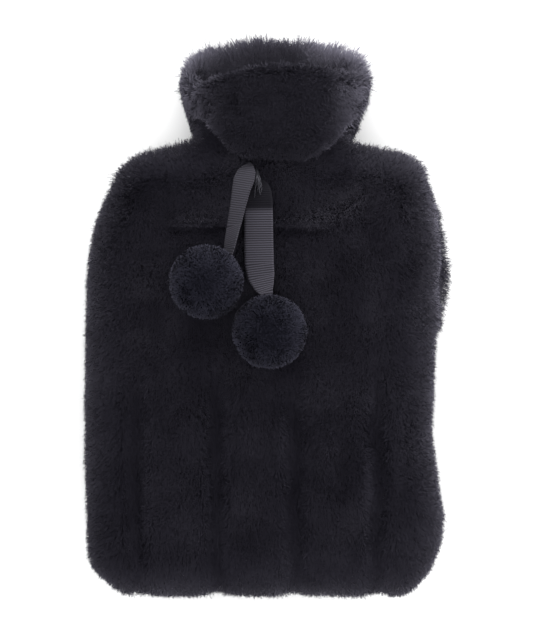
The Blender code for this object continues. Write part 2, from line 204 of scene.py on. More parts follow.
PATCHES = (
    Patch(-42.0, 62.5, 13.0, 4.5, 0.0, 0.9),
    Patch(31.0, 61.5, 9.0, 5.0, 8.0, 1.1),
    Patch(48.0, 67.0, 13.0, 4.0, 28.0, 1.0),
    Patch(54.0, 80.0, 10.0, 3.5, 40.0, 0.7),
    # painted light in the shade between the ribbon's tails, and between the left pompom and the
    # right tail
    Patch(-15.5, 42.0, 5.0, 16.0, 6.0, 1.5),
    Patch(-11.0, 20.0, 7.0, 7.0, 0.0, 1.3),
    Patch(35.0, 78.0, 8.0, 5.0, -20.0, 0.3),
    Patch(37.0, -8.0, 11.0, 12.0, 20.0, 0.25),
    Patch(-52.0, -9.0, 15.0, 10.0, 10.0, 0.2),
    # painted shade between and under the ribbon's tails
    Patch(-8.0, 62.0, 16.0, 12.0, 0.0, -0.2),
    # painted light in the shade under the collar's hem
    Patch(4.0, 93.5, 42.0, 4.5, 0.0, 0.6),
    Patch(-64.0, 82.0, 30.0, 16.0, 15.0, -0.6),
    Patch(74.0, 80.0, 22.0, 18.0, -20.0, 0.45),
)

RIGHT_RIM = (
    Rim(-62.0, 0.0), Rim(-48.0, 0.2), Rim(-17.0, -1.2), Rim(-4.0, -0.6), Rim(8.0, 1.0),
    Rim(19.0, -0.8), Rim(34.0, 0.8), Rim(50.0, 0.8), Rim(62.0, 0.0),
)

CHANNEL_X = (-77.3, -29.4, 17.3, 66.4)
CHANNEL = Fold(0.0, -205.0, 0.0, -18.0, 4.6, 5.0, 50.0)
WRINKLES = (
    Fold(44.0, -112.0, 45.0, -44.0, 1.4, 4.0, 20.0),
    Fold(36.0, 66.0, 60.0, 84.0, 1.8, 4.5, 12.0),
    Fold(52.0, 58.0, 74.0, 72.0, 1.5, 5.0, 12.0),
    Fold(-58.0, 84.0, -34.0, 90.0, 1.2, 5.0, 10.0),
)

COLLAR = (
    Turn(-180, 169.2, 106.6, 10.0),
    Turn(-168, 167.0, 106.6, 10.0),
    Turn(-155, 165.6, 106.6, 10.0),
    Turn(-142, 163.2, 106.6, 9.8),
    Turn(-125, 160.5, 106.6, 9.6),
    Turn(-110, 158.4, 106.6, 9.2),
    Turn(-98, 153.5, 107.6, 9.0),
    Turn(-86, 148.4, 118.5, 9.0),
    Turn(-68, 142.5, 119.5, 9.4),
    Turn(-49, 144.5, 116.5, 11.0),
    Turn(-34, 147.0, 108.5, 13.0),
    Turn(-20, 149.8, 98.5, 15.0),
    Turn(-12, 152.0, 94.0, 15.8),
    Turn(0, 154.2, 92.6, 15.8),
    Turn(12, 153.3, 92.6, 15.8),
    Turn(20, 152.5, 95.0, 15.2),
    Turn(34, 151.0, 101.5, 13.2),
    Turn(50, 149.5, 112.5, 11.0),
    Turn(72, 148.0, 121.0, 9.4),
    Turn(86, 150.0, 120.5, 9.0),
    Turn(98, 154.0, 108.5, 9.0),
    Turn(110, 158.5, 106.6, 9.2),
    Turn(125, 162.0, 106.6, 9.6),
    Turn(140, 164.2, 106.6, 9.8),
    Turn(155, 164.2, 106.6, 10.0),
    Turn(168, 167.2, 106.6, 10.0),
    Turn(180, 169.2, 106.6, 10.0),
)

TAIL_LEFT = (
    Step(-9.8, 92.8, 1.6, -20.0, 1.0),
    Step(-10.6, 90.6, 4.0, -26.0, 6.6),
    Step(-11.8, 87.4, 5.8, -32.0, 12.4),
    Step(-13.4, 82.4, 7.2, -40.0, 16.0),
    Step(-15.1, 76.0, 8.2, -48.0, 16.0),
    Step(-17.0, 66.5, 8.8, -55.0, 16.0),
    Step(-19.4, 54.5, 10.6, -60.0, 16.0),
    Step(-21.2, 45.0, 13.8, -64.0, 15.6),
    Step(-22.0, 40.2, 15.6, -66.0, 14.0),
    Step(-23.6, 35.0, 16.6, -66.0, 12.0),
)
TAIL_RIGHT = (
    Step(-4.2, 82.4, 1.4, 0.0, 6.0),
    Step(-4.3, 80.0, 3.8, 0.0, 10.5),
    Step(-4.5, 76.4, 5.4, 0.0, 14.5),
    Step(-4.8, 71.5, 5.8, 0.0, 16.8),
    Step(-4.7, 60.0, 4.6, 0.0, 17.0),
    Step(-4.6, 46.0, 5.4, 0.0, 17.2),
    Step(-4.3, 32.0, 7.4, 0.0, 17.2),
    Step(-3.2, 24.0, 10.0, 4.0, 16.0),
    Step(-1.6, 18.0, 13.0, 8.0, 12.0),
    Step(-0.2, 14.6, 15.4, 8.0, 8.0),
    Step(0.4, 9.6, 16.4, 8.0, 6.0),
)


class Side(Enum):
    """Which tail of the ribbon, and which pompom on it."""

    LEFT = "left"
    RIGHT = "right"


# Arithmetic on arrays of points.


def smoothstep(value: Array) -> Array:
    """0 below 0, 1 above 1, and a smooth rise between.

    Args:
        value: Any numbers.

    Returns:
        Numbers of the same shape, from 0 to 1.
    """
    value = np.clip(value, 0.0, 1.0)
    return value * value * (3.0 - 2.0 * value)


def unit(vectors: Array) -> Array:
    """Vectors of length 1 in the same directions, along the last axis."""
    return vectors / np.maximum(np.linalg.norm(vectors, axis=-1, keepdims=True), 1e-9)


def read_column(table: tuple, name: str, key: str, where: Array) -> Array:
    """One column of a table, read between its rows.

    Args:
        table: Rows with named columns.
        name: The column to read.
        key: The column that the rows are sorted by.
        where: Places to read at, on the key's scale.

    Returns:
        The column's value at each place.
    """
    keys = [getattr(row, key) for row in table]
    return np.interp(where, keys, [getattr(row, name) for row in table])


def pouch(name: str, y: Array) -> Array:
    """One of the pouch's measures at places along it."""
    return read_column(POUCH, name, "y", y)


def uneven(points: Array, size: float, seed: float) -> Array:
    """Smooth noise between about -1 and 1.

    Args:
        points: Points along the last axis, in millimetres.
        size: How far apart its lumps lie.
        seed: Another number gives another field.

    Returns:
        One number for each point.
    """
    flat = (points.reshape(-1, 3) / size + seed).tolist()
    values = [2.0 * noise.noise(Vector(point)) for point in flat]
    return np.array(values).reshape(points.shape[:-1])


def mixed(noises: tuple, points: Array) -> Array:
    """Several fields of noise in one."""
    return sum(field.at(points) for field in noises)


def level_points(x: Array, y: Array) -> Array:
    """Points at height 0 over places seen from above."""
    return np.stack((x, y, 0.0 * x), axis=-1)


def run_along(points: Array) -> Array:
    """How far along its line each point lies, from 0."""
    return np.concatenate(((0.0,), np.linalg.norm(np.diff(points, axis=0), axis=1).cumsum()))


def nearness(distance: Array) -> Array:
    """1 at the seam, 0 where the face is level."""
    return 1.0 - np.clip(distance / EDGE_ROUND, 0.0, 1.0)


def rounded(distance: Array, depth: Array, outwards: Array, upwards: float) -> tuple[Array, Array]:
    """The rounded edge of the pouch between its seam and its level face.

    Args:
        distance: How far each point is from the seam.
        depth: How far the level face lies from the seam's height.
        outwards: The way out to the seam.
        upwards: 1 for the front, -1 for the back.

    Returns:
        The share of the depth that the edge has reached, and the edge's normals.
    """
    near = nearness(distance)
    share = (1.0 - near**EDGE_POWER) ** (1.0 / EDGE_POWER)
    flat = near ** (EDGE_POWER - 1.0) / EDGE_ROUND
    steep = share ** (EDGE_POWER - 1.0) / depth
    normals = np.concatenate((outwards * flat[..., None], (upwards * steep)[..., None]), axis=-1)
    return share, unit(normals)


def edge_spacing(count: int) -> Array:
    """Distances in from a rounded edge, close together where it is steep.

    Args:
        count: How many distances.

    Returns:
        Distances from 0 to the end of the rounding, in millimetres.
    """
    turn = np.linspace(0.0, math.pi / 2.0, count)
    return EDGE_ROUND * (1.0 - np.cos(turn) ** (2.0 / EDGE_POWER))


class Seam:
    """The pouch's seam, seen from above."""

    def __init__(self) -> None:
        """Lay the seam out from neck to neck, and on past the open end."""
        sides = []
        for name in ("left", "right"):
            side = [(getattr(place, name), place.y) for place in POUCH]
            side.append((side[-1][0], NECK_TOP + 2.0 * EDGE_ROUND))
            sides.append(side)
        line = np.array(sides[0][::-1] + sides[1])
        self.start = line[:-1]
        self.along = line[1:] - line[:-1]

    def nearest(self, x: Array, y: Array) -> tuple[Array, Array]:
        """How far points are from the seam, and the way out to it.

        Args:
            x: Places across.
            y: Places along, of the same shape.

        Returns:
            Distances in millimetres, and unit vectors seen from above.
        """
        away = np.stack((x, y), axis=-1)[..., None, :] - self.start
        share = (away * self.along).sum(axis=-1) / (self.along**2).sum(axis=-1)
        away -= np.clip(share, 0.0, 1.0)[..., None] * self.along
        distances = np.linalg.norm(away, axis=-1)
        index = distances.argmin(axis=-1)
        distance = np.take_along_axis(distances, index[..., None], axis=-1)[..., 0]
        inward = np.take_along_axis(away, index[..., None, None], axis=-2)[..., 0, :]
        square = unit(self.along)[index]
        square = np.stack((square[..., 1], -square[..., 0]), axis=-1)
        return distance, unit(SEAM_BLUR * square - inward)


SEAM = Seam()


# Finishes.


def link_chain(tree: bpy.types.NodeTree, *sockets: object) -> None:
    """Link sockets in pairs: an output, then the input that it feeds.

    Args:
        tree: The node tree.
        sockets: Outputs and inputs in turn.
    """
    for output, target in zip(sockets[::2], sockets[1::2]):
        tree.links.new(output, target)


def add_node(
    tree: bpy.types.NodeTree, kind: str, settings: dict, **inputs: object
) -> bpy.types.Node:
    """A node with its settings and the values of its inputs.

    Args:
        tree: The node tree.
        kind: The node's type, without its usual first word.
        settings: Its properties, set before its inputs are named.
        inputs: Its inputs' values, with _ in their names for a space.

    Returns:
        The node.
    """
    node = tree.nodes.new("ShaderNode" + kind)
    for label, value in settings.items():
        setattr(node, label, value)
    for label, value in inputs.items():
        node.inputs[label.replace("_", " ")].default_value = value
    return node


def new_group(name: str, inputs: dict, output: str, kind: str) -> tuple:
    """A node group with named inputs and one output.

    Args:
        name: The group's name.
        inputs: Each input's name, with its socket type and its value.
        output: The output's name.
        kind: The output's socket type.

    Returns:
        The group, its input node and its output node.
    """
    group = bpy.data.node_groups.new(name, "ShaderNodeTree")
    for label, (socket_type, value) in inputs.items():
        socket = group.interface.new_socket(label, in_out="INPUT", socket_type=socket_type)
        socket.default_value = value
    group.interface.new_socket(output, in_out="OUTPUT", socket_type=kind)
    return group, group.nodes.new("NodeGroupInput"), group.nodes.new("NodeGroupOutput")


def pile_tone_group() -> bpy.types.NodeTree:
    """Colour of a fibre: its root colour at its root, and dull or bright at its tip by its tone.

    Returns:
        The group, shared by every plush finish.
    """
    found = bpy.data.node_groups.get("pile tone")
    if found:
        return found
    inputs = {
        "Tone": ("NodeSocketFloat", 0.5),
        "Along": ("NodeSocketFloat", 1.0),
        "Root": ("NodeSocketColor", (0.004, 0.004, 0.005, 1.0)),
        "Dull": ("NodeSocketColor", (0.008, 0.008, 0.009, 1.0)),
        "Bright": ("NodeSocketColor", (0.02, 0.02, 0.024, 1.0)),
    }
    group, given, result = new_group("pile tone", inputs, "Color", "NodeSocketColor")
    tip = add_node(group, "Mix", COLOURS)
    whole = add_node(group, "Mix", COLOURS)
    link_chain(
        group,
        given.outputs["Tone"], tip.inputs["Factor"],
        given.outputs["Dull"], tip.inputs["A"],
        given.outputs["Bright"], tip.inputs["B"],
        given.outputs["Along"], whole.inputs["Factor"],
        given.outputs["Root"], whole.inputs["A"],
        tip.outputs["Result"], whole.inputs["B"],
        whole.outputs["Result"], result.inputs["Color"],
    )
    return group


def ridge_group() -> bpy.types.NodeTree:
    """Even ridges along a measure, from 0 in a furrow to 1 on a ridge.

    Returns:
        The group, shared by the ribbon and the backing cloth.
    """
    found = bpy.data.node_groups.get("ridges")
    if found:
        return found
    inputs = {"Measure": ("NodeSocketFloat", 0.0), "Pitch": ("NodeSocketFloat", 1.0)}
    group, given, result = new_group("ridges", inputs, "Height", "NodeSocketFloat")
    turns = add_node(group, "Math", {"operation": "DIVIDE"})
    angle = add_node(group, "Math", {"operation": "MULTIPLY"})
    angle.inputs[1].default_value = 2.0 * math.pi
    wave = add_node(group, "Math", {"operation": "COSINE"})
    scaled = add_node(group, "MapRange", {}, From_Min=-1.0)
    link_chain(
        group,
        given.outputs["Measure"], turns.inputs[0],
        given.outputs["Pitch"], turns.inputs[1],
        turns.outputs[0], angle.inputs[0],
        angle.outputs[0], wave.inputs[0],
        wave.outputs[0], scaled.inputs["Value"],
        scaled.outputs["Result"], result.inputs["Height"],
    )
    return group


def read_map(tree: bpy.types.NodeTree, uv_map: str) -> bpy.types.Node:
    """The two measures of a UV map, taken apart.

    Args:
        tree: The material's node tree.
        uv_map: The map's name.

    Returns:
        A node with outputs X and Y.
    """
    source = add_node(tree, "UVMap", {"uv_map": uv_map})
    parts = add_node(tree, "SeparateXYZ", {})
    tree.links.new(source.outputs["UV"], parts.inputs["Vector"])
    return parts


@dataclass(frozen=True)
class Finish(ABC):
    """What a surface is made of. Each kind makes one material."""

    name: str
    roughness: float = 0.8
    specular: float = 0.25
    sheen: float = 0.0
    sheen_roughness: float = 0.4
    tint: tuple = (0.85, 0.82, 1.0, 1.0)  # of sheen and gloss

    def material(self) -> bpy.types.Material:
        """The finish's material, made on first use.

        Returns:
            The material.
        """
        found = bpy.data.materials.get(self.name)
        if found:
            return found
        material = bpy.data.materials.new(self.name)
        material.use_nodes = True
        shader = material.node_tree.nodes["Principled BSDF"]
        shader.inputs["Roughness"].default_value = self.roughness
        shader.inputs["Specular IOR Level"].default_value = self.specular
        shader.inputs["Sheen Weight"].default_value = self.sheen
        shader.inputs["Sheen Roughness"].default_value = self.sheen_roughness
        shader.inputs["Sheen Tint"].default_value = self.tint
        shader.inputs["Specular Tint"].default_value = self.tint
        self.dress(material.node_tree, shader)
        return material

    @abstractmethod
    def dress(self, tree: bpy.types.NodeTree, shader: bpy.types.Node) -> None:
        """Add the finish's own nodes.

        Args:
            tree: The material's node tree.
            shader: Its Principled BSDF.
        """


@dataclass(frozen=True)
class PlushFinish(Finish):
    """Fibres of pile, coloured by their own tone and from root to tip."""

    # raised towards the tips' colour: painted light that lifts the shade deep in the pile
    root: tuple = (0.0125, 0.0115, 0.018, 1.0)
    dull: tuple = (0.0066, 0.006, 0.0098, 1.0)
    bright: tuple = (0.09, 0.086, 0.108, 1.0)

    def dress(self, tree: bpy.types.NodeTree, shader: bpy.types.Node) -> None:
        """Colour each fibre.

        Args:
            tree: The material's node tree.
            shader: Its Principled BSDF.
        """
        tone = read_map(tree, TONE_MAP)
        colour = add_node(
            tree, "Group", {"node_tree": pile_tone_group()},
            Root=self.root, Dull=self.dull, Bright=self.bright,
        )
        link_chain(
            tree,
            tone.outputs["X"], colour.inputs["Tone"],
            tone.outputs["Y"], colour.inputs["Along"],
            colour.outputs["Color"], shader.inputs["Base Color"],
        )


@dataclass(frozen=True)
class BackingFinish(Finish):
    """The knitted cloth that the pile grows on."""

    furrow: tuple = (0.0044, 0.0042, 0.0056, 1.0)
    colour: tuple = (0.011, 0.0105, 0.014, 1.0)
    stitch: float = 1.1
    relief: float = 0.0003  # metres
    strength: float = 0.5

    def dress(self, tree: bpy.types.NodeTree, shader: bpy.types.Node) -> None:
        """Add the knit's fine wales as relief and shade.

        Args:
            tree: The material's node tree.
            shader: Its Principled BSDF.
        """
        place = read_map(tree, WEAVE_MAP)
        wales = add_node(tree, "Group", {"node_tree": ridge_group()}, Pitch=self.stitch)
        shade = add_node(tree, "Mix", COLOURS, A=self.furrow, B=self.colour)
        bump = add_node(tree, "Bump", {}, Distance=self.relief, Strength=self.strength)
        link_chain(
            tree,
            place.outputs["X"], wales.inputs["Measure"],
            wales.outputs["Height"], shade.inputs["Factor"],
            shade.outputs["Result"], shader.inputs["Base Color"],
            wales.outputs["Height"], bump.inputs["Height"],
            bump.outputs["Normal"], shader.inputs["Normal"],
        )


@dataclass(frozen=True)
class RibbonFinish(Finish):
    """Ribbed ribbon: ribs painted lit, furrows painted in shade, and fine threads along it.

    shaded is how far along the ribbon its end is painted in the shadow of the pile it comes out of.
    """

    # furrow and rib: painted shade in the furrows and painted light on the ribs; dark: the painted
    # shadow at the end
    furrow: tuple = (0.006, 0.0056, 0.0075, 1.0)
    rib: tuple = (0.052, 0.049, 0.061, 1.0)
    dark: tuple = (0.0064, 0.0061, 0.008, 1.0)
    shaded: float = 0.0
    shade_fade: float = 1.8
    thread: float = 0.36
    thread_dark: float = 0.78  # what is left of a rib's light between its threads
    relief: float = 0.0001  # metres
    strength: float = 0.4

    def dress(self, tree: bpy.types.NodeTree, shader: bpy.types.Node) -> None:
        """Colour the ribs and give them their fine threads.

        Args:
            tree: The material's node tree.
            shader: Its Principled BSDF.
        """
        place = read_map(tree, WEAVE_MAP)
        ribs = add_node(tree, "Group", {"node_tree": ridge_group()}, Pitch=RIB_PITCH)
        threads = add_node(tree, "Group", {"node_tree": ridge_group()}, Pitch=self.thread)
        # painted shade in the furrows and painted light on the ribs
        shade = add_node(tree, "Mix", COLOURS, A=self.furrow, B=self.rib)
        grain = add_node(tree, "MapRange", {}, To_Min=self.thread_dark)
        mask = add_node(tree, "Math", {"operation": "MULTIPLY"})
        # painted shadow over the end of the ribbon, up to shaded
        start, end = self.shaded - self.shade_fade, self.shaded + self.shade_fade
        shadow = add_node(tree, "MapRange", {}, From_Min=start, From_Max=end)
        lit = add_node(tree, "Mix", COLOURS, A=self.dark)
        bump = add_node(tree, "Bump", {}, Distance=self.relief, Strength=self.strength)
        link_chain(
            tree,
            place.outputs["Y"], ribs.inputs["Measure"],
            place.outputs["X"], threads.inputs["Measure"],
            threads.outputs["Height"], grain.inputs["Value"],
            ribs.outputs["Height"], mask.inputs[0],
            grain.outputs["Result"], mask.inputs[1],
            place.outputs["Y"], shadow.inputs["Value"],
            mask.outputs[0], shade.inputs["Factor"],
            shadow.outputs["Result"], lit.inputs["Factor"],
            shade.outputs["Result"], lit.inputs["B"],
            lit.outputs["Result"], shader.inputs["Base Color"],
            threads.outputs["Height"], bump.inputs["Height"],
            bump.outputs["Normal"], shader.inputs["Normal"],
        )


@dataclass(frozen=True)
class PlainFinish(Finish):
    """One colour all over, for the floor and for loose threads."""

    colour: tuple = (0.9, 0.9, 0.9, 1.0)

    def dress(self, tree: bpy.types.NodeTree, shader: bpy.types.Node) -> None:
        """Set the colour, which needs no more nodes."""
        shader.inputs["Base Color"].default_value = self.colour


FUR = PlushFinish("plush_pile", roughness=0.7, specular=0.05, sheen=0.16, sheen_roughness=0.45)
# A brighter copy of the pile's finish, for the collar's painted light past the pile's brightest
# tone.
FUR_PAINTED_LIGHT = replace(FUR, name="plush_pile_painted_light", bright=(0.179, 0.171, 0.215, 1.0))
POM = PlushFinish(
    "pom_plush", roughness=0.7, specular=0.05, sheen=0.06, sheen_roughness=0.5,
    # roots lighter than the tips: painted light that lifts the shade deep in the pile
    root=(0.017, 0.017, 0.028, 1.0), dull=(0.0052, 0.0052, 0.0095, 1.0),
    bright=(0.056, 0.056, 0.08, 1.0),
)
BACKING = BackingFinish("backing_knit", roughness=0.9, specular=0.05)
# One ribbon in two finishes: the left tail's ribs are painted darker against the light that it
# catches, and the right tail's end is painted in shadow.
RIBBON = RibbonFinish(
    "ribbon_ribs", roughness=0.6, specular=0.12, rib=(0.038, 0.0363, 0.045, 1.0)
)
RIBBON_SHADED = RibbonFinish(
    "ribbon_ribs_shaded", roughness=0.6, specular=0.05, furrow=(0.0095, 0.009, 0.0117, 1.0),
    rib=(0.059, 0.056, 0.0695, 1.0), shaded=20.2,
)
THREAD = PlainFinish(
    "dark_thread", roughness=0.3, specular=0.4, colour=(0.022, 0.022, 0.026, 1.0)
)
FLOOR = PlainFinish("pale_floor", roughness=0.9, specular=0.0, colour=(0.94, 0.94, 0.94, 1.0))


# Meshes.


class Drawing:
    """Where the drawing's millimetres lie in the frame."""

    def __init__(self) -> None:
        """Find the drawing's origin from the back panel, whose edges it names."""
        low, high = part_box("back_panel")
        left = min(place.left for place in POUCH)
        self.shift = np.array((
            low.x - left * MM,
            high.y - NECK_TOP * MM,
            high.z - (SEAM_Z - GAP) * MM,
        ))

    def to_frame(self, points: Array) -> Array:
        """Points of the drawing, in metres in the frame."""
        return points * MM + self.shift


DRAWING = Drawing()


@dataclass
class Cloth:
    """A sheet of cloth as a grid, with the pile that stands on it.

    points, normals and lay are rows x columns x 3, height and tone are rows x columns, and
    lengths are in millimetres. lay is the way that the pile is combed.
    """

    points: Array
    normals: Array
    height: Array
    lay: Array
    tone: Array

    def cells(self) -> Array:
        """The four corners of each cell, as indices into the flattened grid.

        Returns:
            cells x 4.
        """
        rows, columns = self.points.shape[:2]
        index = np.arange(rows * columns).reshape(rows, columns)
        corners = (index[:-1, :-1], index[:-1, 1:], index[1:, 1:], index[1:, :-1])
        return np.stack([corner.ravel() for corner in corners], axis=1)

    def scatter(self, count: int, rng: np.random.Generator, keep: Array) -> "Fibres":
        """Roots spread evenly over the cloth.

        Args:
            count: How many fibres.
            rng: The source of chance.
            keep: Rows x columns, a share of pile for each point.

        Returns:
            The fibres' roots with what the cloth says there.
        """
        cells = self.cells()
        flat = self.points.reshape(-1, 3)
        diagonals = (flat[cells[:, 2]] - flat[cells[:, 0]], flat[cells[:, 3]] - flat[cells[:, 1]])
        areas = np.linalg.norm(np.cross(*diagonals), axis=1) * keep.ravel()[cells].mean(axis=1)
        chosen = rng.choice(len(cells), size=count, p=areas / areas.sum())
        s, t = rng.random((2, count, 1))
        weights = ((1 - s) * (1 - t), s * (1 - t), s * t, (1 - s) * t)

        def read(values: Array) -> Array:
            """Read the cloth's values at the roots."""
            table = values.reshape(len(flat), -1)
            return sum(weight * table[cells[chosen, at]] for at, weight in enumerate(weights))

        return Fibres(
            read(self.points),
            unit(read(self.normals)),
            read(self.height)[:, 0],
            read(self.lay),
            read(self.tone)[:, 0],
        )


@dataclass
class Fibres:
    """Roots of pile, each with its normal, height, tone and the way that it is combed."""

    roots: Array
    normals: Array
    heights: Array
    lay: Array
    tones: Array

    def part(self, chosen: Array) -> "Fibres":
        """Some of the fibres, chosen by their numbers."""
        return Fibres(*(getattr(self, field.name)[chosen] for field in fields(self)))


@dataclass(frozen=True)
class Pile:
    """How fibres stand: their lean, clumps, width and shading."""

    lean: float = 34.0  # degrees from upright
    lean_spread: float = 10.0
    lean_drift: Field | None = Field(5.0, 21.0, 7.3)
    lean_limits: tuple = (4.0, 62.0)
    width: float = 0.30
    width_range: tuple = (0.7, 0.6)  # the narrowest, and how much more the widest has
    twist: float = 60.0
    jitter: float = 0.09
    stray: float = 0.6
    ragged: float = 1.4  # how much more uneven it is on upright sides
    stretch: float = 0.55  # a fibre that leans grows longer up to this cosine
    clump: float = 1.6  # across one clump
    clump_cover: float = 2.2  # clumps for each square of that size, in the box's three sides
    pull: float = 0.15
    gathered: float = 0.55  # how far apart a clump's tips stay, of their roots
    blunt: float = 0.65  # the share of fibres that are widest at their tip
    short: float = 0.82  # how long those are
    patches: Field = Field(0.25, 27.0, 3.1)  # how much its tone changes over wide patches
    mottle: Field = Field(0.12, 7.0, 5.7)  # over a few clumps
    clump_tone: float = 0.06  # from one clump to the next
    grain: float = 0.08  # and from one fibre to the next
    darkest: float = 0.1  # the least of its tone that is left
    shade: float = 0.15  # 0 shades a fibre as its cloth, 1 as itself
    floor: float = 0.2  # no tip reaches lower

    def tips(self, fibres: Fibres, rng: np.random.Generator) -> Array:
        """Where each fibre ends.

        Args:
            fibres: The roots.
            rng: The source of chance.

        Returns:
            The tips, in millimetres.
        """
        count = len(fibres.roots)
        drift = self.lean_drift.at(fibres.roots) if self.lean_drift else 0.0
        lean = self.lean + drift + self.lean_spread * rng.standard_normal(count)
        lean = np.radians(np.clip(lean, *self.lean_limits))[:, None]
        rough = 1.0 + self.ragged * (1.0 - np.abs(fibres.normals[:, 2:]))
        combed = fibres.lay + self.stray * rough * rng.standard_normal((count, 3))
        combed -= (combed * fibres.normals).sum(axis=1, keepdims=True) * fibres.normals
        way = fibres.normals * np.cos(lean) + unit(combed) * np.sin(lean)
        uneven_ends = np.clip(rng.standard_normal((count, 1)), -2.0, 2.0)
        reach = fibres.heights[:, None] * (1.0 + self.jitter * rough * uneven_ends)
        return fibres.roots + way * (reach / np.maximum(np.cos(lean), self.stretch))

    def gather(self, roots: Array, tips: Array, rng: np.random.Generator) -> tuple[Array, Array]:
        """Draw tips together into clumps.

        Args:
            roots: The fibres' roots.
            tips: Their tips.
            rng: The source of chance.

        Returns:
            The new tips, and the number of each fibre's clump.
        """
        spread = np.ptp(roots, axis=0)
        area = spread[0] * spread[1] + spread[1] * spread[2] + spread[0] * spread[2]
        total = int(min(len(roots), self.clump_cover * area / self.clump**2))
        centres = rng.choice(len(roots), size=total, replace=False)
        tree = kdtree.KDTree(total)
        for index, centre in enumerate(roots[centres].tolist()):
            tree.insert(centre, index)
        tree.balance()
        nearest = np.array([tree.find(root)[1] for root in roots.tolist()])
        leader = centres[nearest]
        pull = self.pull * (0.5 + rng.random((len(roots), 1)))
        drawn = tips[leader] + (roots - roots[leader]) * self.gathered
        return tips + (drawn - tips) * pull, nearest

    def grow(
        self, name: str, fibres: Fibres, finish: Finish, slot: str, rng: np.random.Generator
    ) -> bpy.types.Object:
        """Make the fibres as one mesh of tapered blades.

        Args:
            name: The piece's name.
            fibres: The roots.
            finish: Its finish.
            slot: A material slot's name; not used.
            rng: The source of chance.

        Returns:
            The piece.
        """
        roots = fibres.roots
        tips = self.tips(fibres, rng)
        tips, clump = self.gather(roots, tips, rng)
        tips[:, 2] = np.maximum(tips[:, 2], self.floor)
        count = len(roots)
        way = unit(tips - roots)
        side = unit(np.cross(way, fibres.normals))
        twist = np.radians(self.twist) * (2.0 * rng.random((count, 1)) - 1.0)
        side = side * np.cos(twist) + np.cross(way, side) * np.sin(twist)
        narrow, more = self.width_range
        half = side * (0.5 * self.width * (narrow + more * rng.random((count, 1))))
        blunt = rng.random((count, 1)) < self.blunt
        ends = roots + (tips - roots) * np.where(blunt, self.short, 1.0)
        corners = np.stack((
            roots - np.where(blunt, 0.0, half),
            np.where(blunt, ends + half, roots + half),
            ends - np.where(blunt, half, 0.0),
        ), axis=1)
        facing = unit(np.cross(side, way))
        normals = unit(fibres.normals * (1.0 - self.shade) + facing * self.shade)
        patches = self.patches.at(roots) + self.mottle.at(roots)
        clump_tones = self.clump_tone * rng.standard_normal(clump.max() + 1)
        chance = clump_tones[clump] + self.grain * rng.standard_normal(count)
        tones = fibres.tones * np.maximum(self.darkest, 1.0 + patches + chance)
        along = np.column_stack((np.zeros(count), blunt[:, 0], np.ones(count)))
        piece = blades(name, corners, normals, np.clip(tones, 0.0, 1.0), along, finish)
        return piece


def blades(
    name: str, corners: Array, normals: Array, tones: Array, along: Array, finish: Finish
) -> bpy.types.Object:
    """One mesh of three-cornered blades.

    Args:
        name: The piece's name.
        corners: blades x 3 x 3, in millimetres.
        normals: The shading normal of each blade.
        tones: The tone of each blade, from 0 to 1.
        along: blades x 3, 0 for a corner at the root and 1 for one at the tip.
        finish: The finish.

    Returns:
        The piece.
    """
    count = len(corners)
    mesh = bpy.data.meshes.new(name)
    mesh.vertices.add(3 * count)
    mesh.vertices.foreach_set("co", DRAWING.to_frame(corners).astype(np.float32).ravel())
    mesh.loops.add(3 * count)
    mesh.loops.foreach_set("vertex_index", np.arange(3 * count, dtype=np.int32))
    mesh.polygons.add(count)
    mesh.polygons.foreach_set("loop_start", np.arange(0, 3 * count, 3, dtype=np.int32))
    measures = np.zeros((count, 3, 2), np.float32)
    measures[:, :, 0] = tones[:, None]
    measures[:, :, 1] = along
    mesh.uv_layers.new(name=TONE_MAP).uv.foreach_set("vector", measures.ravel())
    mesh.update(calc_edges=True)
    mesh.shade_smooth()
    mesh.normals_split_custom_set_from_vertices(np.repeat(normals, 3, axis=0).tolist())
    return place_piece(name, mesh, finish)


def new_object(name: str, data: bpy.types.ID) -> bpy.types.Object:
    """Put an object into the scene.

    Args:
        name: Its name.
        data: The mesh, light or camera that it shows.

    Returns:
        The object.
    """
    thing = bpy.data.objects.new(name, data)
    bpy.context.scene.collection.objects.link(thing)
    return thing


def place_piece(name: str, mesh: bpy.types.Mesh, finish: Finish) -> bpy.types.Object:
    """Turn a finished mesh into a piece that rides on the cover.

    Args:
        name: The piece's name.
        mesh: Its mesh, in metres in the frame.
        finish: Its finish.

    Returns:
        The piece.
    """
    mesh.materials.append(finish.material())
    piece = new_object(name, mesh)
    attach(piece, BODY)
    LOG.info("%s: %d faces", name, len(mesh.polygons))
    return piece


def smooth_mesh(name: str, mesh: bmesh.types.BMesh) -> bpy.types.Mesh:
    """A bmesh as a smoothly shaded mesh; the bmesh is freed.

    Args:
        name: The mesh's name.
        mesh: The bmesh.

    Returns:
        The mesh.
    """
    data = bpy.data.meshes.new(name)
    mesh.to_mesh(data)
    mesh.free()
    data.shade_smooth()
    return data


def add_grid(mesh: bmesh.types.BMesh, points: Array) -> dict:
    """Add a grid of faces through given points.

    Args:
        mesh: The bmesh that it is added to.
        points: rows x columns x 3, in millimetres.

    Returns:
        Each new vertex with its row and column.
    """
    rows, columns = points.shape[:2]
    made = bmesh.ops.create_grid(mesh, x_segments=columns - 1, y_segments=rows - 1, size=1.0)
    cells = {}
    for vert in made["verts"]:
        column = round((vert.co.x + 1.0) / 2.0 * (columns - 1))
        row = round((vert.co.y + 1.0) / 2.0 * (rows - 1))
        cells[vert] = (row, column)
    places = DRAWING.to_frame(points)
    for vert, cell in cells.items():
        vert.co = places[cell]
    return cells


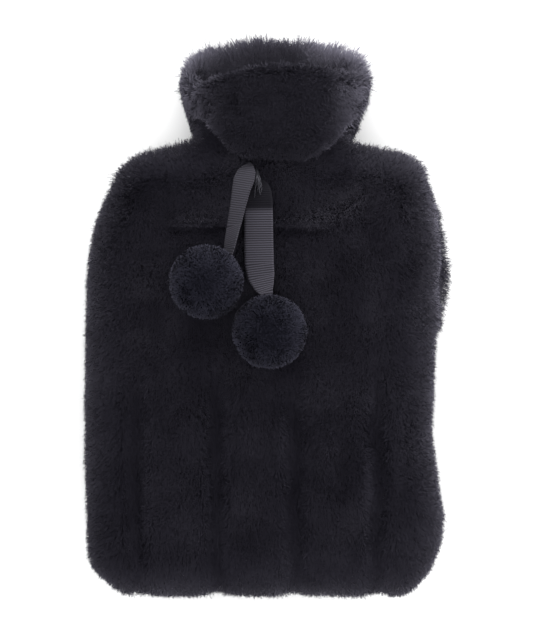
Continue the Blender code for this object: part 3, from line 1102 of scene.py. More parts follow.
def sheet_mesh(
    name: str, points: Array, finish: Finish, thick: float, run: Array | None = None,
    joined: bool = False, side: float = -1.0,
) -> bpy.types.Object:
    """A sheet of cloth laid on a grid of points, with a thickness.

    Args:
        name: The piece's name.
        points: rows x columns x 3, in millimetres.
        finish: Its finish.
        thick: Its thickness, in millimetres.
        run: How far along the cloth each row lies; measured on the grid if it is None.
        joined: Whether its first and last columns are one.
        side: The side of the grid that the thickness is on, from -1 to 1.

    Returns:
        The piece.
    """
    across = np.linalg.norm(np.diff(points, axis=1), axis=2).mean(axis=0).cumsum()
    along = np.linalg.norm(np.diff(points, axis=0), axis=2).mean(axis=1).cumsum()
    measure_x = np.concatenate(((0.0,), across))
    measure_y = np.concatenate(((0.0,), along)) if run is None else run
    mesh = bmesh.new()
    weave = mesh.loops.layers.uv.new(WEAVE_MAP)
    cells = add_grid(mesh, points)
    for face in mesh.faces:
        for loop in face.loops:
            row, column = cells[loop.vert]
            loop[weave].uv = (measure_x[column], measure_y[row])
    if joined:
        bmesh.ops.remove_doubles(mesh, verts=mesh.verts, dist=0.01 * MM)
    piece = place_piece(name, smooth_mesh(name, mesh), finish)
    solid = piece.modifiers.new("thickness", "SOLIDIFY")
    solid.thickness = thick * MM
    solid.offset = side
    return piece


# The pieces.


@dataclass
class Panel(ABC):
    """One half of the pouch: a sheet from seam to seam, with its pile."""

    name: str
    count: int
    bands: int  # how many pieces its pile is parted into
    seed: int

    flat: tuple = (0.235, 0.325)  # metres
    thick: float = 1.4
    inside: float = -1.0  # the side of the grid on which the cloth has its thickness
    step: float = 3.4  # between rows and columns where the face is level
    edge_points: int = 10
    more_rows: tuple = ()
    columns_at: float = -70.0  # the place along it where the columns are set out

    pile: Pile = Pile()
    pile_height: float = 4.8
    tufts: tuple = (Field(0.08, 13.0, 2.9), Field(0.12, 5.0, 8.3))
    rim_swell: float = 1.8  # the cloth stands out this much along the seam
    rim_reach: float = 1.2  # the pile is this much longer there
    shoulder_reach: float = 2.5  # and this much more on the shoulders
    bulge_reach: float = 0.12  # and this share of the bulge more beside it
    shoulder: Ramp = Ramp(78.0, 12.0)
    edge_density: float = 0.3

    sway: tuple = (Field(0.4, 30.0, 1.7), Field(0.2, 11.0, 4.1))  # how the combing strays across
    drift: Field = Field(0.3, 34.0, 9.2)  # and along
    splay: float = 0.6  # how far it is combed out to the seam
    shoulder_lay: Ramp = Ramp(78.0, 16.0)
    shoulder_comb: tuple = (0.9, 1.3)  # how far it is combed outwards and up there
    middle: float = 20.0  # half the width over which that changes sides

    base_tone: float = 0.138
    chest: float = 0.26  # how much lighter the pile is on the chest
    chest_at: Ramp = Ramp(-20.0, 80.0)
    neck: float = 0.5  # painted shade on the neck, under the collar: how much darker it is
    neck_at: Ramp = Ramp(94.0, 10.0)
    inner_rim: float = 0.1  # how much darker it is painted on its way to the seam, against the light on the rounded edge
    rim: float = 3.6  # painted rim light: how much lighter it is along the seam
    rim_power: int = 14
    rim_right: float = 0.4  # how much more painted rim light on the right, and less on the left
    rim_low: float = 0.7  # what is left of it at the bottom
    rim_at: Ramp = Ramp(POUCH[0].y, 14.0)
    brushed: float = 0.3  # how much it changes from one brushed patch to the next
    brushed_low: float = 0.35  # what is left of that at the bottom
    brushed_at: Ramp = Ramp(-40.0, 60.0)
    brush: Field = Field(2.5, 19.0, 6.6)

    @abstractmethod
    def shape(self, x: Array, y: Array) -> tuple[Array, Array]:
        """Points at the tips of the pile over places seen from above, and their normals."""

    def plan(self) -> tuple[Array, Array]:
        """Places of the grid, seen from above, close together at the seam.

        Returns:
            Places across and places along, both rows x columns.
        """
        edge = edge_spacing(self.edge_points)
        bottom = POUCH[0].y
        level = np.arange(bottom + EDGE_ROUND + self.step, NECK_TOP, self.step)
        rows = np.concatenate((bottom + edge, level, self.more_rows, (NECK_TOP,)))
        rows.sort()
        left, right = (float(pouch(name, self.columns_at)) for name in ("left", "right"))
        inner = np.arange(left + EDGE_ROUND + self.step, right - EDGE_ROUND, self.step)
        places = np.concatenate((left + edge, inner, (right - edge)[::-1]))
        shares = (places - left) / (right - left)
        y = np.repeat(rows[:, None], len(shares), axis=1)
        start, end = pouch("left", y), pouch("right", y)
        return start + (end - start) * shares, y

    def comb(self, points: Array, out: Array, near: Array) -> Array:
        """The way that the pile is combed: down the cover, astray in patches.

        Args:
            points: The grid.
            out: The way out to the seam.
            near: 1 at the seam, 0 where the face is level.

        Returns:
            One vector for each point.
        """
        lay = np.zeros_like(points)
        lay[..., 0] = mixed(self.sway, points)
        lay[..., 1] = -1.0 + self.drift.at(points)
        lay[..., :2] += self.splay * near[..., None] ** 2 * out
        shoulder = self.shoulder_lay.at(points[..., 1])
        outwards, up = self.shoulder_comb
        lay[..., 0] += outwards * shoulder * np.tanh(points[..., 0] / self.middle)
        lay[..., 1] += up * shoulder
        return lay

    def cloth(self) -> Cloth:
        """The panel's sheet, one pile's height inside the tips.

        Returns:
            The sheet.
        """
        x, y = self.plan()
        tips, normals = self.shape(x, y)
        distance, out = SEAM.nearest(x, y)
        near = nearness(distance)
        bulge = pouch("bulge", y) * (x > 0.0)
        reach = self.rim_reach + self.shoulder_reach * self.shoulder.at(y)
        reach += self.bulge_reach * bulge
        height = self.pile_height * (1.0 + mixed(self.tufts, tips)) + reach * near**3
        points = tips + normals * (self.rim_swell * near[..., None] ** 3 - self.pile_height)
        return Cloth(points, normals, height, self.comb(tips, out, near), self.tone(x, y, near))

    def tone(self, x: Array, y: Array, near: Array) -> Array:
        """How light the pile is, with painted rim light along the seam and painted shade on the
        neck.

        Args:
            x: Places across.
            y: Places along.
            near: 1 at the seam, 0 where the face is level.

        Returns:
            Tones, from 0 for the dull pile to 1 for the brightest.
        """
        patches = np.tanh(self.brush.at(level_points(x, y)))
        spread = self.brushed_low + (1.0 - self.brushed_low) * self.brushed_at.at(y)
        shade = 1.0 + self.chest * self.chest_at.at(y) + self.brushed * patches * spread
        # painted rim light along the seam, stronger on the right
        low = self.rim_low + (1.0 - self.rim_low) * self.rim_at.at(y)
        rim = self.rim * (1.0 + self.rim_right * np.sign(x)) * low
        edge = 1.0 - self.inner_rim * near + rim * near**self.rim_power
        # painted shade on the neck
        return self.base_tone * shade * edge * (1.0 - self.neck * self.neck_at.at(y))

    def density(self, cloth: Cloth) -> Array:
        """How dense the pile is: more so along the seam, where it's seen from the side.

        Args:
            cloth: The panel's sheet.

        Returns:
            A share for each point of the sheet.
        """
        distance = SEAM.nearest(cloth.points[..., 0], cloth.points[..., 1])[0]
        return 1.0 + self.edge_density * (1.0 - smoothstep(distance / EDGE_ROUND))

    def build(self) -> None:
        """Make the panel's sheet and its pile."""
        rng = np.random.default_rng(self.seed)
        cloth = self.cloth()
        skin = sheet_mesh(self.name + "_cloth", cloth.points, BACKING, self.thick, side=self.inside)
        fibres = cloth.scatter(self.count, rng, self.density(cloth))
        order = np.argsort(fibres.roots[:, 1], kind="stable")
        coats = [
            self.pile.grow(f"{self.name}_pile_{band}", fibres.part(chosen), FUR, "fur", rng)
            for band, chosen in enumerate(np.array_split(order, self.bands), start=1)
        ]
        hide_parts(self.name)


@dataclass
class FrontPanel(Panel):
    """The face of the cover, with its sewn channels, its crease and its wrinkles."""

    more_rows: tuple = (54.0, 55.4, 56.1, 56.7, 58.0)  # where the crease needs them
    crown: float = 2.0
    crown_at: Ramp = Ramp(0.5 * EDGE_ROUND, 2.0 * EDGE_ROUND)
    lumps: Field = Field(1.1, 24.0, 0.0)
    crease_y: float = 56.3
    crease_x: tuple = (-62.0, 38.0)
    crease_step: float = 3.6
    crease_reach: float = 11.0
    crease_fade: float = 9.0
    crease_light_and_shadow: tuple = (0.5, 1.4)  # painted light above it and painted shadow below it: how much lighter, and how much darker
    channel_shade: float = 0.35  # painted shade in a channel: how much darker
    scallop: float = 2.4
    scallop_width: float = 7.0
    scallop_at: Ramp = Ramp(POUCH[0].y, 6.0)
    rim_inwards: float = 14.0  # how far in the right rim's unevenness reaches

    def pressed(self, fold: Fold, x: Array, y: Array) -> Array:
        """How far a fold presses the face in.

        Args:
            fold: The fold.
            x: Places across.
            y: Places along.

        Returns:
            Depths in millimetres.
        """
        along = np.array((fold.x1 - fold.x0, fold.y1 - fold.y0))
        length = np.hypot(*along)
        run = ((x - fold.x0) * along[0] + (y - fold.y0) * along[1]) / length
        aside = ((x - fold.x0) * along[1] - (y - fold.y0) * along[0]) / length
        ends = smoothstep(run / fold.fade) * smoothstep((length - run) / fold.fade)
        return ends * Swell(0.0, fold.width, fold.depth).at(aside)

    def channels(self, x: Array, y: Array) -> Array:
        """How far the sewn channels press the face in, in millimetres."""
        lines = [CHANNEL._replace(x0=line, x1=line) for line in CHANNEL_X]
        return sum(self.pressed(line, x, y) for line in lines)

    def creased(self, x: Array, y: Array) -> Array:
        """The step across the chest: proud above the crease, pressed in below it.

        Args:
            x: Places across.
            y: Places along.

        Returns:
            Heights in millimetres.
        """
        start, end = self.crease_x
        across = smoothstep((x - start) / self.crease_fade)
        across = across * smoothstep((end - x) / self.crease_fade)
        above = y - self.crease_y
        fall = np.maximum(0.0, 1.0 - np.abs(above) / self.crease_reach)
        fall = np.where(above > 0.0, fall, fall**2)
        return np.where(above > 0.0, 0.5, -0.5) * self.crease_step * across * fall

    def relief(self, x: Array, y: Array) -> Array:
        """Crown, crease, folds and lumps over the plain rounded form.

        Args:
            x: Places across.
            y: Places along.

        Returns:
            Heights in millimetres.
        """
        folds = sum(self.pressed(fold, x, y) for fold in WRINKLES) + self.channels(x, y)
        crown = self.crown * self.crown_at.at(SEAM.nearest(x, y)[0])
        return crown + self.creased(x, y) - folds + self.lumps.at(level_points(x, y))

    def tone(self, x: Array, y: Array, near: Array) -> Array:
        """Painted: rim light, shade in the channels, and light above and shadow below the crease.

        Args:
            x: Places across.
            y: Places along.
            near: 1 at the seam, 0 where the face is level.

        Returns:
            Tones, from 0 for the dull pile to 1 for the brightest.
        """
        # painted light above the crease, painted shadow under it, and painted shade in the channels
        fold = self.creased(x, y) / self.crease_step
        change = np.where(fold > 0.0, *self.crease_light_and_shadow) * fold
        change = change - self.channel_shade * self.channels(x, y) / CHANNEL.depth
        # soft patches, some of them painted light or shade
        for patch in PATCHES:
            cosine, sine = math.cos(math.radians(patch.turn)), math.sin(math.radians(patch.turn))
            along = (x - patch.x) * cosine + (y - patch.y) * sine
            across = (y - patch.y) * cosine - (x - patch.x) * sine
            shape = Swell(0.0, patch.wide, patch.gain).at(along) * Swell(0.0, patch.tall).at(across)
            change = change + shape
        return super().tone(x, y, near) * (1.0 + change)

    def height(self, x: Array, y: Array) -> Array:
        """The face's height over the surface that the cover lies on, at the tips of the pile."""
        return self.shape(x, y)[0][..., 2]

    def shape(self, x: Array, y: Array) -> tuple[Array, Array]:
        """The face at the tips of its pile, scalloped along the bottom edge.

        Args:
            x: Places across.
            y: Places along.

        Returns:
            Points and normals.
        """
        distance, out = SEAM.nearest(x, y)
        rise = pouch("rise", y)
        share, normals = rounded(distance, rise, out, 1.0)
        relief = self.relief(x, y)
        slope_x = (self.relief(x + RELIEF_STEP, y) - relief) / RELIEF_STEP
        slope_y = (self.relief(x, y + RELIEF_STEP) - relief) / RELIEF_STEP
        slope = np.stack((slope_x, slope_y, np.zeros_like(x)), axis=-1)
        normals = unit(normals - slope * (share * normals[..., 2])[..., None])
        nearest = np.min([np.abs(x - line) for line in CHANNEL_X], axis=0)
        swell = self.scallop - Swell(0.0, self.scallop_width, self.scallop).at(nearest)
        rim = read_column(RIGHT_RIM, "out", "y", y) * (x > 0.0)
        rim = rim * (1.0 - smoothstep(distance / self.rim_inwards))
        low = y - swell * (1.0 - self.scallop_at.at(y))
        return np.stack((x + rim, low, SEAM_Z + (rise + relief) * share), axis=-1), normals


@dataclass
class BackPanel(Panel):
    """The back of the cover, flat where it lies and fuller on the right."""

    inside: float = 1.0
    rim_reach: float = 0.4
    pile_height: float = 4.0
    edge_density: float = 1.2
    rim: float = 0.0
    lumps: Field = Field(2.4, 15.0, 3.3)  # how uneven the bulge is
    fuller: float = 1.12  # how much fuller it is than its solid beside the bulge
    whole: float = 6.0  # a bulge of this much is whole
    under_seam: float = 3.0  # how far in from the seam it is whole
    glow: float = 2.4  # how much lighter its pile is painted there, for the light that the bulge catches
    raised: float = 0.9  # how far its pile is turned up there
    raised_inwards: float = 14.0  # and how far in
    starts: Ramp = Ramp(-14.0, 12.0)  # where it starts along the side

    def shape(self, x: Array, y: Array) -> tuple[Array, Array]:
        """The back at the tips of its pile.

        Args:
            x: Places across.
            y: Places along.

        Returns:
            Points and normals.
        """
        distance, out = SEAM.nearest(x, y)
        depth = SEAM_Z - GAP - pouch("lift", y)
        share, normals = rounded(distance, depth, out, -1.0)
        swell = (x > 0.0) * nearness(distance) * smoothstep(distance / self.under_seam)
        z = SEAM_Z - GAP - depth * share
        bulge = self.fuller * pouch("bulge", y) * self.starts.at(y)
        whole = smoothstep(bulge / self.whole)
        raised = whole * (x > 0.0) * (1.0 - smoothstep(distance / self.raised_inwards))
        normals[..., 2] += self.raised * raised
        lumps = self.lumps.at(np.stack((0.0 * x, y, z), axis=-1)) * whole
        return np.stack((x + (bulge + lumps) * swell, y, z), axis=-1), unit(normals)

    def tone(self, x: Array, y: Array, near: Array) -> Array:
        """Lighter where the bulge catches the light.

        Args:
            x: Places across.
            y: Places along.
            near: 1 at the seam, 0 where the face is level.

        Returns:
            Tones, from 0 for the dull pile to 1 for the brightest.
        """
        bulge = smoothstep(pouch("bulge", y) / self.whole) * (x > 0.0)
        return super().tone(x, y, near) * (1.0 + self.glow * bulge * near**2)


@dataclass
class Collar:
    """The collar: a band folded outwards and down into a cuff.

    Its sheet has a column for each direction round the neck, from the back over the left, and
    a row for each point from inside the mouth over the fold to the hem. Swells over rows and
    ramps from the hem count these rows, and those over turns are in degrees from the front.
    """

    name: str = "collar"
    flat: tuple = (0.235, 0.08)  # metres
    ring_x: float = 3.7
    half_width: float = 36.0
    half_height: float = 10.0
    flare: float = 5.6
    flare_at: Ramp = Ramp(118.0, 26.0)
    power: float = 3.0
    layer: float = 7.0
    gap: float = 2.5
    thick: float = 1.0
    hem_roll: float = 3.0  # the cloth ends this far over the hem's pile
    wall_rows: int = 8
    arc_rows: int = 9
    cuff_rows: int = 18
    steps: int = 121
    back: Ramp = Ramp(95.0, 30.0)  # where the back begins, in degrees from the front

    pile_height: float = 5.4
    tufts: tuple = (Field(0.12, 12.0, 2.9), Field(0.2, 4.0, 6.1))
    longer: float = 0.7  # how much longer the pile is all round
    longer_right: float = 1.5  # and how much more on the right, and less on the left
    back_longer: tuple = (Swell(12.0, 4.0, 2.0), Swell(6.0, 4.0, 5.0))  # rows
    hem_shorter: float = 0.45
    hem_shorter_at: Ramp = Ramp(-6.0, 5.0)
    fold_shorter: Swell = Swell(9.0, 3.0, 0.3)  # rows of the front
    back_uneven: Field = Field(0.15, 7.0, 4.4)
    corner_turns: Swell = Swell(103.0, 13.0, 3.0)  # longer tufts at both corners
    corner_rows: Swell = Swell(9.0, 4.0)
    upright: Swell = Swell(11.8, 2.8, 0.8)  # rows of the front whose pile is turned up
    comb_out: float = 0.3
    sway: tuple = (Field(0.4, 17.0, 8.8), Field(0.7, 6.0, 5.2))  # how the combing strays across
    drift: tuple = (Field(0.4, 15.0, 1.9), Field(0.5, 6.0, 7.9))  # and along

    front_tone: float = 0.14
    sides: Ramp = Ramp(26.0, 24.0)  # where the pile is painted lighter towards both sides
    side_tone: float = 0.8
    side_right: float = 0.15  # how much more on the right
    hem_turns: Swell = Swell(52.0, 26.0)  # where the hem slants, and gets a painted highlight
    hem_right: float = 0.3
    hem_at: Ramp = Ramp(-4.0, 3.0)
    ridge: Swell = Swell(10.8, 2.0, 0.45)  # painted shade along the front of the fold
    ridge_sides: float = 0.7  # how much less dark it is at the sides
    below_ridge: Swell = Swell(15.5, 2.6, 0.3)  # and painted light on the rows below it
    back_tone: float = 0.1
    top: Ramp = Ramp(138.0, 14.0)  # where the back is painted lighter towards its top
    top_tone: float = 0.64
    top_sides: float = 0.25  # how much more at both sides
    top_right: float = 0.1  # and on the right
    back_side_tone: float = 0.6
    back_sides: Ramp = Ramp(118.0, 10.0)
    middle_x: float = -6.0
    corners: Ramp = Ramp(15.0, 38.0)  # where the top is painted lighter, away from its middle
    corner_tone: float = 1.8
    corner_right: float = 0.3
    middle_dark: float = 0.28
    corners_at: Ramp = Ramp(146.0, 6.0)
    edge_x: Swell = Swell(5.0, 20.0, 1.6)  # the painted highlight along the edge in the middle of the top
    edge_at: Ramp = Ramp(159.0, 6.0)

    count: int = 180_000
    mouth_rows: int = 4  # rows with a thinner pile
    mouth_share: float = 0.45
    curly: float = 0.33  # pile lighter than this curls
    lighter: float = 2.07  # how much brighter the finish of the painted light can be than the rest's
    smooth_pile: Pile = Pile()
    curly_pile: Pile = Pile(
        clump=2.6, pull=0.32, stray=0.9, ragged=0.0, jitter=0.2, mottle=Field(0.22, 7.0, 5.7)
    )
    seed: int = 5

    def ring(self, angle: float, out: Array, y: Array) -> Array:
        """Points in one direction from the middle of the neck.

        Args:
            angle: The direction in radians, 0 at the front.
            out: Distances out from the mouth's wall.
            y: Places along.

        Returns:
            Points along the last axis.
        """
        flare = self.flare * self.flare_at.at(y)
        turn = np.array((np.sin(angle), np.cos(angle)))
        sine, cosine = np.sign(turn) * np.abs(turn) ** (2.0 / self.power)
        x = self.ring_x + (self.half_width + flare + out) * sine
        return np.stack((x, y, SEAM_Z + (self.half_height + out) * cosine), axis=-1)

    def path(self, fold: float, hem: float, out: float) -> Array:
        """The sheet cut through, from inside the mouth over the fold to the hem.

        Args:
            fold: Where the fold lies along.
            hem: Where the hem lies along.
            out: The space between hem and ring.

        Returns:
            Distances out and places along, one row for each point.
        """
        bend = self.layer + self.gap / 2.0
        bend_y = fold - bend
        radius = bend - self.pile_height
        wall_y = np.linspace(NECK_TOP + GAP, bend_y, self.wall_rows, endpoint=False)
        wall = np.column_stack((np.full(self.wall_rows, self.pile_height), wall_y))
        turns = np.linspace(math.pi, 0.0, self.arc_rows)
        arc = np.column_stack((bend + radius * np.cos(turns), bend_y + radius * np.sin(turns)))
        start = np.array((bend + radius, bend_y))
        end = np.array((out + self.layer - self.pile_height, hem + self.hem_roll))
        shares = np.linspace(0.0, 1.0, self.cuff_rows + 1)[1:, None]
        return np.concatenate((wall, arc, start + (end - start) * shares))

    def grid(self, degrees: Array) -> Array:
        """The points of the sheet.

        Args:
            degrees: The direction of each column.

        Returns:
            rows x columns x 3.
        """
        columns = []
        for turn in degrees:
            sizes = [read_column(COLLAR, key, "angle", turn) for key in ("fold", "hem", "out")]
            cut = self.path(*sizes)
            columns.append(self.ring(np.radians(turn), cut[:, 0], cut[:, 1]))
        return np.stack(columns, axis=1)

    def outwards(self, points: Array) -> Array:
        """Normals of the sheet on the side of its pile.

        Args:
            points: The grid.

        Returns:
            One unit vector for each point.
        """
        wrapped = np.concatenate((points[:, -2:-1], points, points[:, 1:2]), axis=1)
        along, across = np.gradient(wrapped, axis=0), np.gradient(wrapped, axis=1)
        normals = unit(np.cross(across, along))[:, 1:-1]
        centre = np.array((self.ring_x, 0.0, SEAM_Z))
        towards = (normals[0] * (centre - points[0]) * (1, 0, 1)).sum(axis=-1).mean()
        return normals * (1.0 if towards > 0 else -1.0)

    def heights(self, points: Array, degrees: Array, back: Array) -> Array:
        """How long the pile is.

        Args:
            points: The grid.
            degrees: The direction of each column.
            back: 1 at the back of the neck, 0 at its front.

        Returns:
            Heights in millimetres, one for each point.
        """
        rows = np.arange(len(points))[:, None]
        height = self.pile_height * (1.0 + mixed(self.tufts, points))
        height += self.longer + self.longer_right * np.sin(np.radians(degrees))
        height += back * sum(swell.at(rows) for swell in self.back_longer)
        height *= 1.0 - self.hem_shorter * self.hem_shorter_at.at(rows - len(points))
        height *= 1.0 - (1.0 - back) * self.fold_shorter.at(rows)
        height *= 1.0 + back * self.back_uneven.at(points)
        return height + self.corner_turns.at(np.abs(degrees)) * self.corner_rows.at(rows)

    def tone(self, points: Array, degrees: Array, back: Array) -> Array:
        """How light the pile is: dark in front, with painted light at the sides, the hem and the
        top.

        Args:
            points: The grid.
            degrees: The direction of each column.
            back: 1 at the back of the neck, 0 at its front.

        Returns:
            Tones, one for each point; the curly coat's finish takes them past 1.
        """
        x, y = points[..., 0], points[..., 1]
        rows = np.arange(len(points))[:, None]
        right = np.sin(np.radians(degrees))
        side = self.sides.at(np.abs(x - self.ring_x))
        # painted shade along the front of the fold, and painted light on the rows below it
        ridge = self.ridge.at(rows) * (1.0 - back) * (1.0 - self.ridge_sides * side)
        lit = 1.0 + self.side_right * side * right - ridge + self.below_ridge.at(rows)
        # painted highlight on the slanting hem
        hem = self.hem_turns.at(np.abs(degrees)) * (1.0 + self.hem_right * right)
        hem = hem * self.hem_at.at(rows - len(points))
        front = (self.front_tone + self.side_tone * side + hem) * lit
        # painted light on the back's top, its corners and its middle edge
        top = self.top_tone + self.top_sides * np.abs(right) + self.top_right * right
        rear = self.back_tone + self.top.at(y) * top
        rear = np.maximum(rear, self.back_side_tone * side * self.back_sides.at(y))
        aside = self.corners.at(np.abs(x - self.middle_x))
        corner = (self.corner_tone + self.corner_right * right) * aside - self.middle_dark
        corner = np.where(corner < 0.0, corner * back, corner) * self.corners_at.at(y)
        edge = 1.0 + self.edge_x.at(x) * back * self.edge_at.at(y)
        return (front * (1.0 - back) + rear * back) * (1.0 + corner) * edge

    def comb(self, points: Array) -> Array:
        """The way that the pile is combed: towards the hem and out to both sides.

        Args:
            points: The grid.

        Returns:
            One vector for each point.
        """
        lay = unit(np.gradient(points, axis=0))
        lay[..., 0] += self.comb_out * (points[..., 0] - self.ring_x) / self.half_width
        lay[..., 0] += mixed(self.sway, points)
        lay[..., 1] += mixed(self.drift, points)
        return lay

    def cloth(self) -> Cloth:
        """The collar's sheet and the way its pile stands.

        Returns:
            The sheet, its first and last columns at the back of the neck.
        """
        degrees = np.linspace(-180.0, 180.0, self.steps)
        points = self.grid(degrees)
        back = self.back.at(np.abs(degrees))
        rows = np.arange(len(points))[:, None]
        side = self.sides.at(np.abs(points[..., 0] - self.ring_x))
        normals = self.outwards(points)
        normals[..., 2] += self.upright.at(rows) * (1.0 - back) * (1.0 - side)
        return Cloth(
            points,
            unit(normals),
            self.heights(points, degrees, back),
            self.comb(points),
            self.tone(points, degrees, back),
        )

    def build(self) -> None:
        """Make the collar's sheet and its pile."""
        rng = np.random.default_rng(self.seed)
        cloth = self.cloth()
        skin = sheet_mesh(self.name + "_cloth", cloth.points, BACKING, self.thick, joined=True)
        keep = np.ones(cloth.height.shape)
        keep[:self.mouth_rows] = self.mouth_share
        fibres = cloth.scatter(self.count, rng, keep)
        curly = fibres.tones > self.curly
        smooth, light = fibres.part(~curly), fibres.part(curly)
        # the pile with painted light takes the brighter finish, so its tones are scaled to match
        light.tones /= self.lighter
        coats = [
            self.smooth_pile.grow(self.name + "_pile_smooth", smooth, FUR, "fur", rng),
            self.curly_pile.grow(self.name + "_pile_curly", light, FUR_PAINTED_LIGHT, "fur", rng),
        ]
        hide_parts(self.name)


@dataclass
class RibbonTail:
    """One tail of the ribbon, woven with cross ribs and a firm edge on each side."""

    side: Side
    steps: tuple
    face: FrontPanel
    finish: Finish
    width: float = 0.016  # metres
    thick: float = 0.7
    rib: float = 0.13
    rib_points: int = 6
    columns: int = 13
    smoothings: int = 12
    firm_edge: float = 0.9
    slant: float = 0.0  # how far the ribs run along the tail for each millimetre across

    def build(self) -> None:
        """Make the tail, ribs and all."""
        name = "ribbon_" + self.side.value
        key = np.array([(step.x, step.y) for step in self.steps])
        lifts = np.array([step.lift for step in self.steps])
        middle = np.column_stack((key, self.face.height(key[:, 0], key[:, 1]) + lifts))
        run = run_along(middle)
        where = np.linspace(0.0, run[-1], int(run[-1] / RIB_PITCH * self.rib_points))
        line = np.column_stack([np.interp(where, run, middle[:, axis]) for axis in range(3)])
        for _ in range(self.smoothings):
            line[1:-1] = (line[:-2] + 2.0 * line[1:-1] + line[2:]) / 4.0
        way = unit(np.gradient(line, axis=0))
        level = unit(np.cross(way, (0.0, 0.0, 1.0)))
        up = np.cross(level, way)
        turn = np.radians(np.interp(where, run, [step.turn for step in self.steps]))[:, None]
        across = level * np.cos(turn) + up * np.sin(turn)
        out = np.cross(across, way)
        wide = np.interp(where, run, [step.wide for step in self.steps])[:, None, None]
        share = np.linspace(-0.5, 0.5, self.columns)[None, :, None]
        ridge = self.rib * np.cos(2.0 * math.pi * where / RIB_PITCH)[:, None, None]
        edge = np.clip((0.5 - np.abs(share)) * wide / self.firm_edge, 0.0, 1.0)
        lean = across[:, None] - self.slant * way[:, None]
        points = line[:, None] - lean * share * wide + out[:, None] * ridge * edge
        strip = sheet_mesh(name + "_strip", points, self.finish, self.thick, run=where, side=0.0)
        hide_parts(name)


@dataclass
class LooseThreads:
    """Glossy thread ends at the hole that the ribbon comes out of."""

    face: FrontPanel
    start: tuple = (-6.0, 88.5)
    end: tuple = (-4.6, 72.0)
    shortest: float = 0.55  # how far of that way the shortest comes
    lift: float = 8.5  # over the face, on top of the ribbon
    arch: float = 3.0
    spread: tuple = (1.02, 0.85)  # of their ends
    root_spread: float = 0.5
    wander: float = 0.5
    radius: float = 0.28
    taper: float = 0.4  # what is left of the radius at the end
    count: int = 16
    points: int = 12
    sides: int = 5
    seed: int = 31

    def path(self, rng: np.random.Generator) -> Array:
        """One thread's middle line, arching out of the hole and down the ribbon.

        Args:
            rng: The source of chance.

        Returns:
            Points in millimetres.
        """
        reach = self.shortest + (1.0 - self.shortest) * rng.random()
        share = np.linspace(0.0, 1.0, self.points)[:, None]
        start, end = np.array(self.start), np.array(self.end)
        end = start + (end - start) * reach + rng.standard_normal(2) * self.spread
        flat = start + (end - start) * share + self.root_spread * rng.standard_normal(2)
        strays = rng.standard_normal((self.points, 2))
        flat = flat + self.wander * np.cumsum(strays, axis=0) * share
        rise = self.lift * np.sqrt(share) + self.arch * rng.random() * np.sin(math.pi * share)
        height = self.face.height(flat[:, 0], flat[:, 1])[:, None] + rise
        return np.concatenate((flat, height), axis=1)

    def build(self) -> None:
        """Make the threads as one mesh of fine tubes."""
        rng = np.random.default_rng(self.seed)
        mesh = bmesh.new()
        turn = np.linspace(0.0, 2.0 * math.pi, self.sides + 1)[None, :, None]
        thin = self.radius * np.linspace(1.0, self.taper, self.points)[:, None, None]
        for _ in range(self.count):
            line = self.path(rng)
            way = unit(np.gradient(line, axis=0))
            side = unit(np.cross(way, (0.0, 0.3, 1.0)))
            up = np.cross(side, way)
            rings = side[:, None] * np.cos(turn) + up[:, None] * np.sin(turn)
            verts = list(add_grid(mesh, line[:, None] + thin * rings))
            bmesh.ops.remove_doubles(mesh, verts=verts, dist=0.001 * MM)
        threads = place_piece("loose_threads", smooth_mesh("loose_threads", mesh), THREAD)


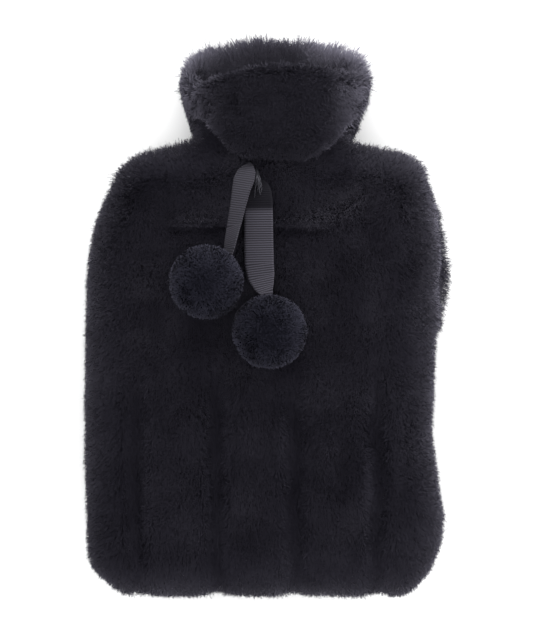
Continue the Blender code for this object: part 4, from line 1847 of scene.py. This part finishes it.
@dataclass
class Pompom:
    """A plush ball on the end of a tail."""

    side: Side
    x: float
    y: float
    face: FrontPanel
    seed: int
    tone: float = 0.18
    rim: float = 0.3  # painted rim light: how much lighter its sides are
    radius: float = 22.5
    press: float = 2.0
    core: float = 16.0
    sunk: float = 0.5  # how far inside the core's surface the fibres start
    trim: float = 0.82  # the fibres' height, of the room between core and surface
    unround: float = 0.025
    unround_size: float = 9.0
    scattered: float = 0.02
    swirl: tuple = (Field(0.7, 10.0, 1.1), Field(0.7, 10.0, 2.3), Field(0.7, 10.0, 3.7))
    count: int = 76_000
    pile: Pile = Pile(
        lean=38.0, lean_spread=9.0, lean_drift=None, stray=1.0, ragged=0.0, width=0.38, clump=1.5,
        pull=0.12, jitter=0.04, twist=80.0, shade=0.1, blunt=0.7, short=0.95, grain=0.05,
    )

    def ball(self, name: str, centre: Array) -> bpy.types.Mesh:
        """The core's mesh.

        Args:
            name: Its name.
            centre: The ball's middle, in millimetres.

        Returns:
            The mesh, in metres in the frame.
        """
        mesh = bmesh.new()
        bmesh.ops.create_icosphere(mesh, subdivisions=4, radius=self.core)
        bmesh.ops.translate(mesh, vec=centre, verts=mesh.verts)
        weave = mesh.loops.layers.uv.new(WEAVE_MAP)
        for vert in mesh.verts:
            vert.co = DRAWING.to_frame(np.array(vert.co))
            for loop in vert.link_loops:
                loop[weave].uv = vert.co.xy / MM
        return smooth_mesh(name, mesh)

    def fibres(self, centre: Array, rng: np.random.Generator) -> Fibres:
        """The roots of the pile, spread evenly over the core.

        Args:
            centre: The ball's middle, in millimetres.
            rng: The source of chance.

        Returns:
            The roots.
        """
        index = np.arange(self.count) + 0.5
        polar = np.arccos(1.0 - 2.0 * index / self.count)
        around = math.pi * (1.0 + 5.0**0.5) * index  # turned by the golden angle each
        ways = (np.cos(around) * np.sin(polar), np.sin(around) * np.sin(polar), np.cos(polar))
        ways = np.column_stack(ways)
        ways = unit(ways + self.scattered * rng.standard_normal(ways.shape))
        places = ways * self.radius
        surface = 1.0 + Field(self.unround, self.unround_size, self.seed).at(places)
        rooted = self.core - self.sunk
        heights = (self.radius * surface - rooted) * self.trim
        lay = np.column_stack([field.at(places) for field in self.swirl])
        # painted rim light on the ball's sides
        tones = self.tone * (1.0 + self.rim * (1.0 - np.clip(ways[:, 2], 0.0, 1.0)) ** 2)
        return Fibres(centre + ways * rooted, ways, heights, lay, tones)

    def build(self) -> None:
        """Make the ball's core and its trimmed pile."""
        rng = np.random.default_rng(self.seed)
        name = "pompom_" + self.side.value
        ground = float(self.face.height(np.array((self.x,)), np.array((self.y,)))[0])
        centre = np.array((self.x, self.y, ground + GAP + self.radius - self.press))
        core = place_piece(name + "_core", self.ball(name + "_core", centre), BACKING)
        self.pile.grow(name + "_pile", self.fibres(centre, rng), POM, "pompom", rng)
        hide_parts(name)


# The studio.


class SoftBox(NamedTuple):
    """One soft box: where it hangs, what it points at and its size, in metres, and its watts."""

    name: str
    place: tuple
    target: tuple
    size: tuple
    power: float

    def hang(self) -> None:
        """Hang the soft box."""
        lamp = bpy.data.lights.new(self.name, "AREA")
        lamp.shape = "RECTANGLE"
        lamp.size, lamp.size_y = self.size
        lamp.energy = self.power
        holder = new_object(self.name, lamp)
        holder.location = self.place
        way = Vector(self.target) - Vector(self.place)
        holder.rotation_euler = way.to_track_quat("-Z", "Y").to_euler()


@dataclass
class Studio:
    """A pale floor, soft lights and the camera straight above the cover."""

    floor_size: float = 4.0  # metres from its middle to a side
    frame_height: float = 388.0  # millimetres that the picture spans, at the face's height
    face_z: float = 34.0
    camera_z: float = 1500.0
    look_y: float = -1.5
    sensor: float = 36.0
    room_light: float = 1.55
    soft_boxes: tuple = (
        SoftBox("left_strip", (-1.1, 0.05, 0.2), (0.0, 0.0, 0.03), (1.6, 0.3), 3.5),
        SoftBox("right_strip", (1.1, 0.05, 0.2), (0.0, 0.0, 0.03), (1.6, 0.3), 12.0),
        SoftBox("top_strip", (0.0, 1.2, 0.25), (0.0, 0.05, 0.03), (1.4, 0.4), 12.0),
        SoftBox("bottom_strip", (0.0, -1.2, 0.25), (0.0, -0.05, 0.03), (1.4, 0.4), 4.0),
    )

    def floor(self) -> None:
        """Lay the floor."""
        mesh = bmesh.new()
        bmesh.ops.create_grid(mesh, x_segments=1, y_segments=1, size=self.floor_size)
        data = smooth_mesh("floor", mesh)
        data.materials.append(FLOOR.material())
        new_object("floor", data)

    def lights(self) -> None:
        """Hang the soft boxes and light the room."""
        world = bpy.data.worlds.new("room")
        bpy.context.scene.world = world
        world.use_nodes = True
        room = world.node_tree.nodes["Background"]
        room.inputs["Color"].default_value = (1.0, 1.0, 1.0, 1.0)
        room.inputs["Strength"].default_value = self.room_light
        for soft_box in self.soft_boxes:
            soft_box.hang()

    def camera(self) -> None:
        """Hang the camera over the cover."""
        data = bpy.data.cameras.new("camera")
        data.sensor_width = self.sensor
        data.lens = self.sensor * (self.camera_z - self.face_z) / self.frame_height
        eye = new_object("camera", data)
        eye.location = (DRAWING.shift[0], DRAWING.shift[1] + self.look_y * MM, self.camera_z * MM)
        bpy.context.scene.camera = eye

    def build(self) -> None:
        """Set the studio up."""
        self.floor()
        self.lights()
        self.camera()
        bpy.context.scene.view_settings.view_transform = "Standard"


def main() -> None:
    """Build the cover's pieces in order, and the studio round them."""
    logging.basicConfig(level=logging.INFO, format="%(name)s: %(message)s")
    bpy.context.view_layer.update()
    Studio().build()
    face = FrontPanel("front_panel", count=370_000, bands=2, seed=1)
    face.build()
    BackPanel("back_panel", count=150_000, bands=1, seed=2).build()
    Collar().build()
    RibbonTail(Side.LEFT, TAIL_LEFT, face, RIBBON, slant=0.15).build()
    RibbonTail(Side.RIGHT, TAIL_RIGHT, face, RIBBON_SHADED).build()
    LooseThreads(face).build()
    Pompom(Side.LEFT, -35.5, 20.9, face, seed=21).build()
    Pompom(Side.RIGHT, 1.8, -8.2, face, seed=22, tone=0.155).build()


if __name__ == "__main__":
    main()
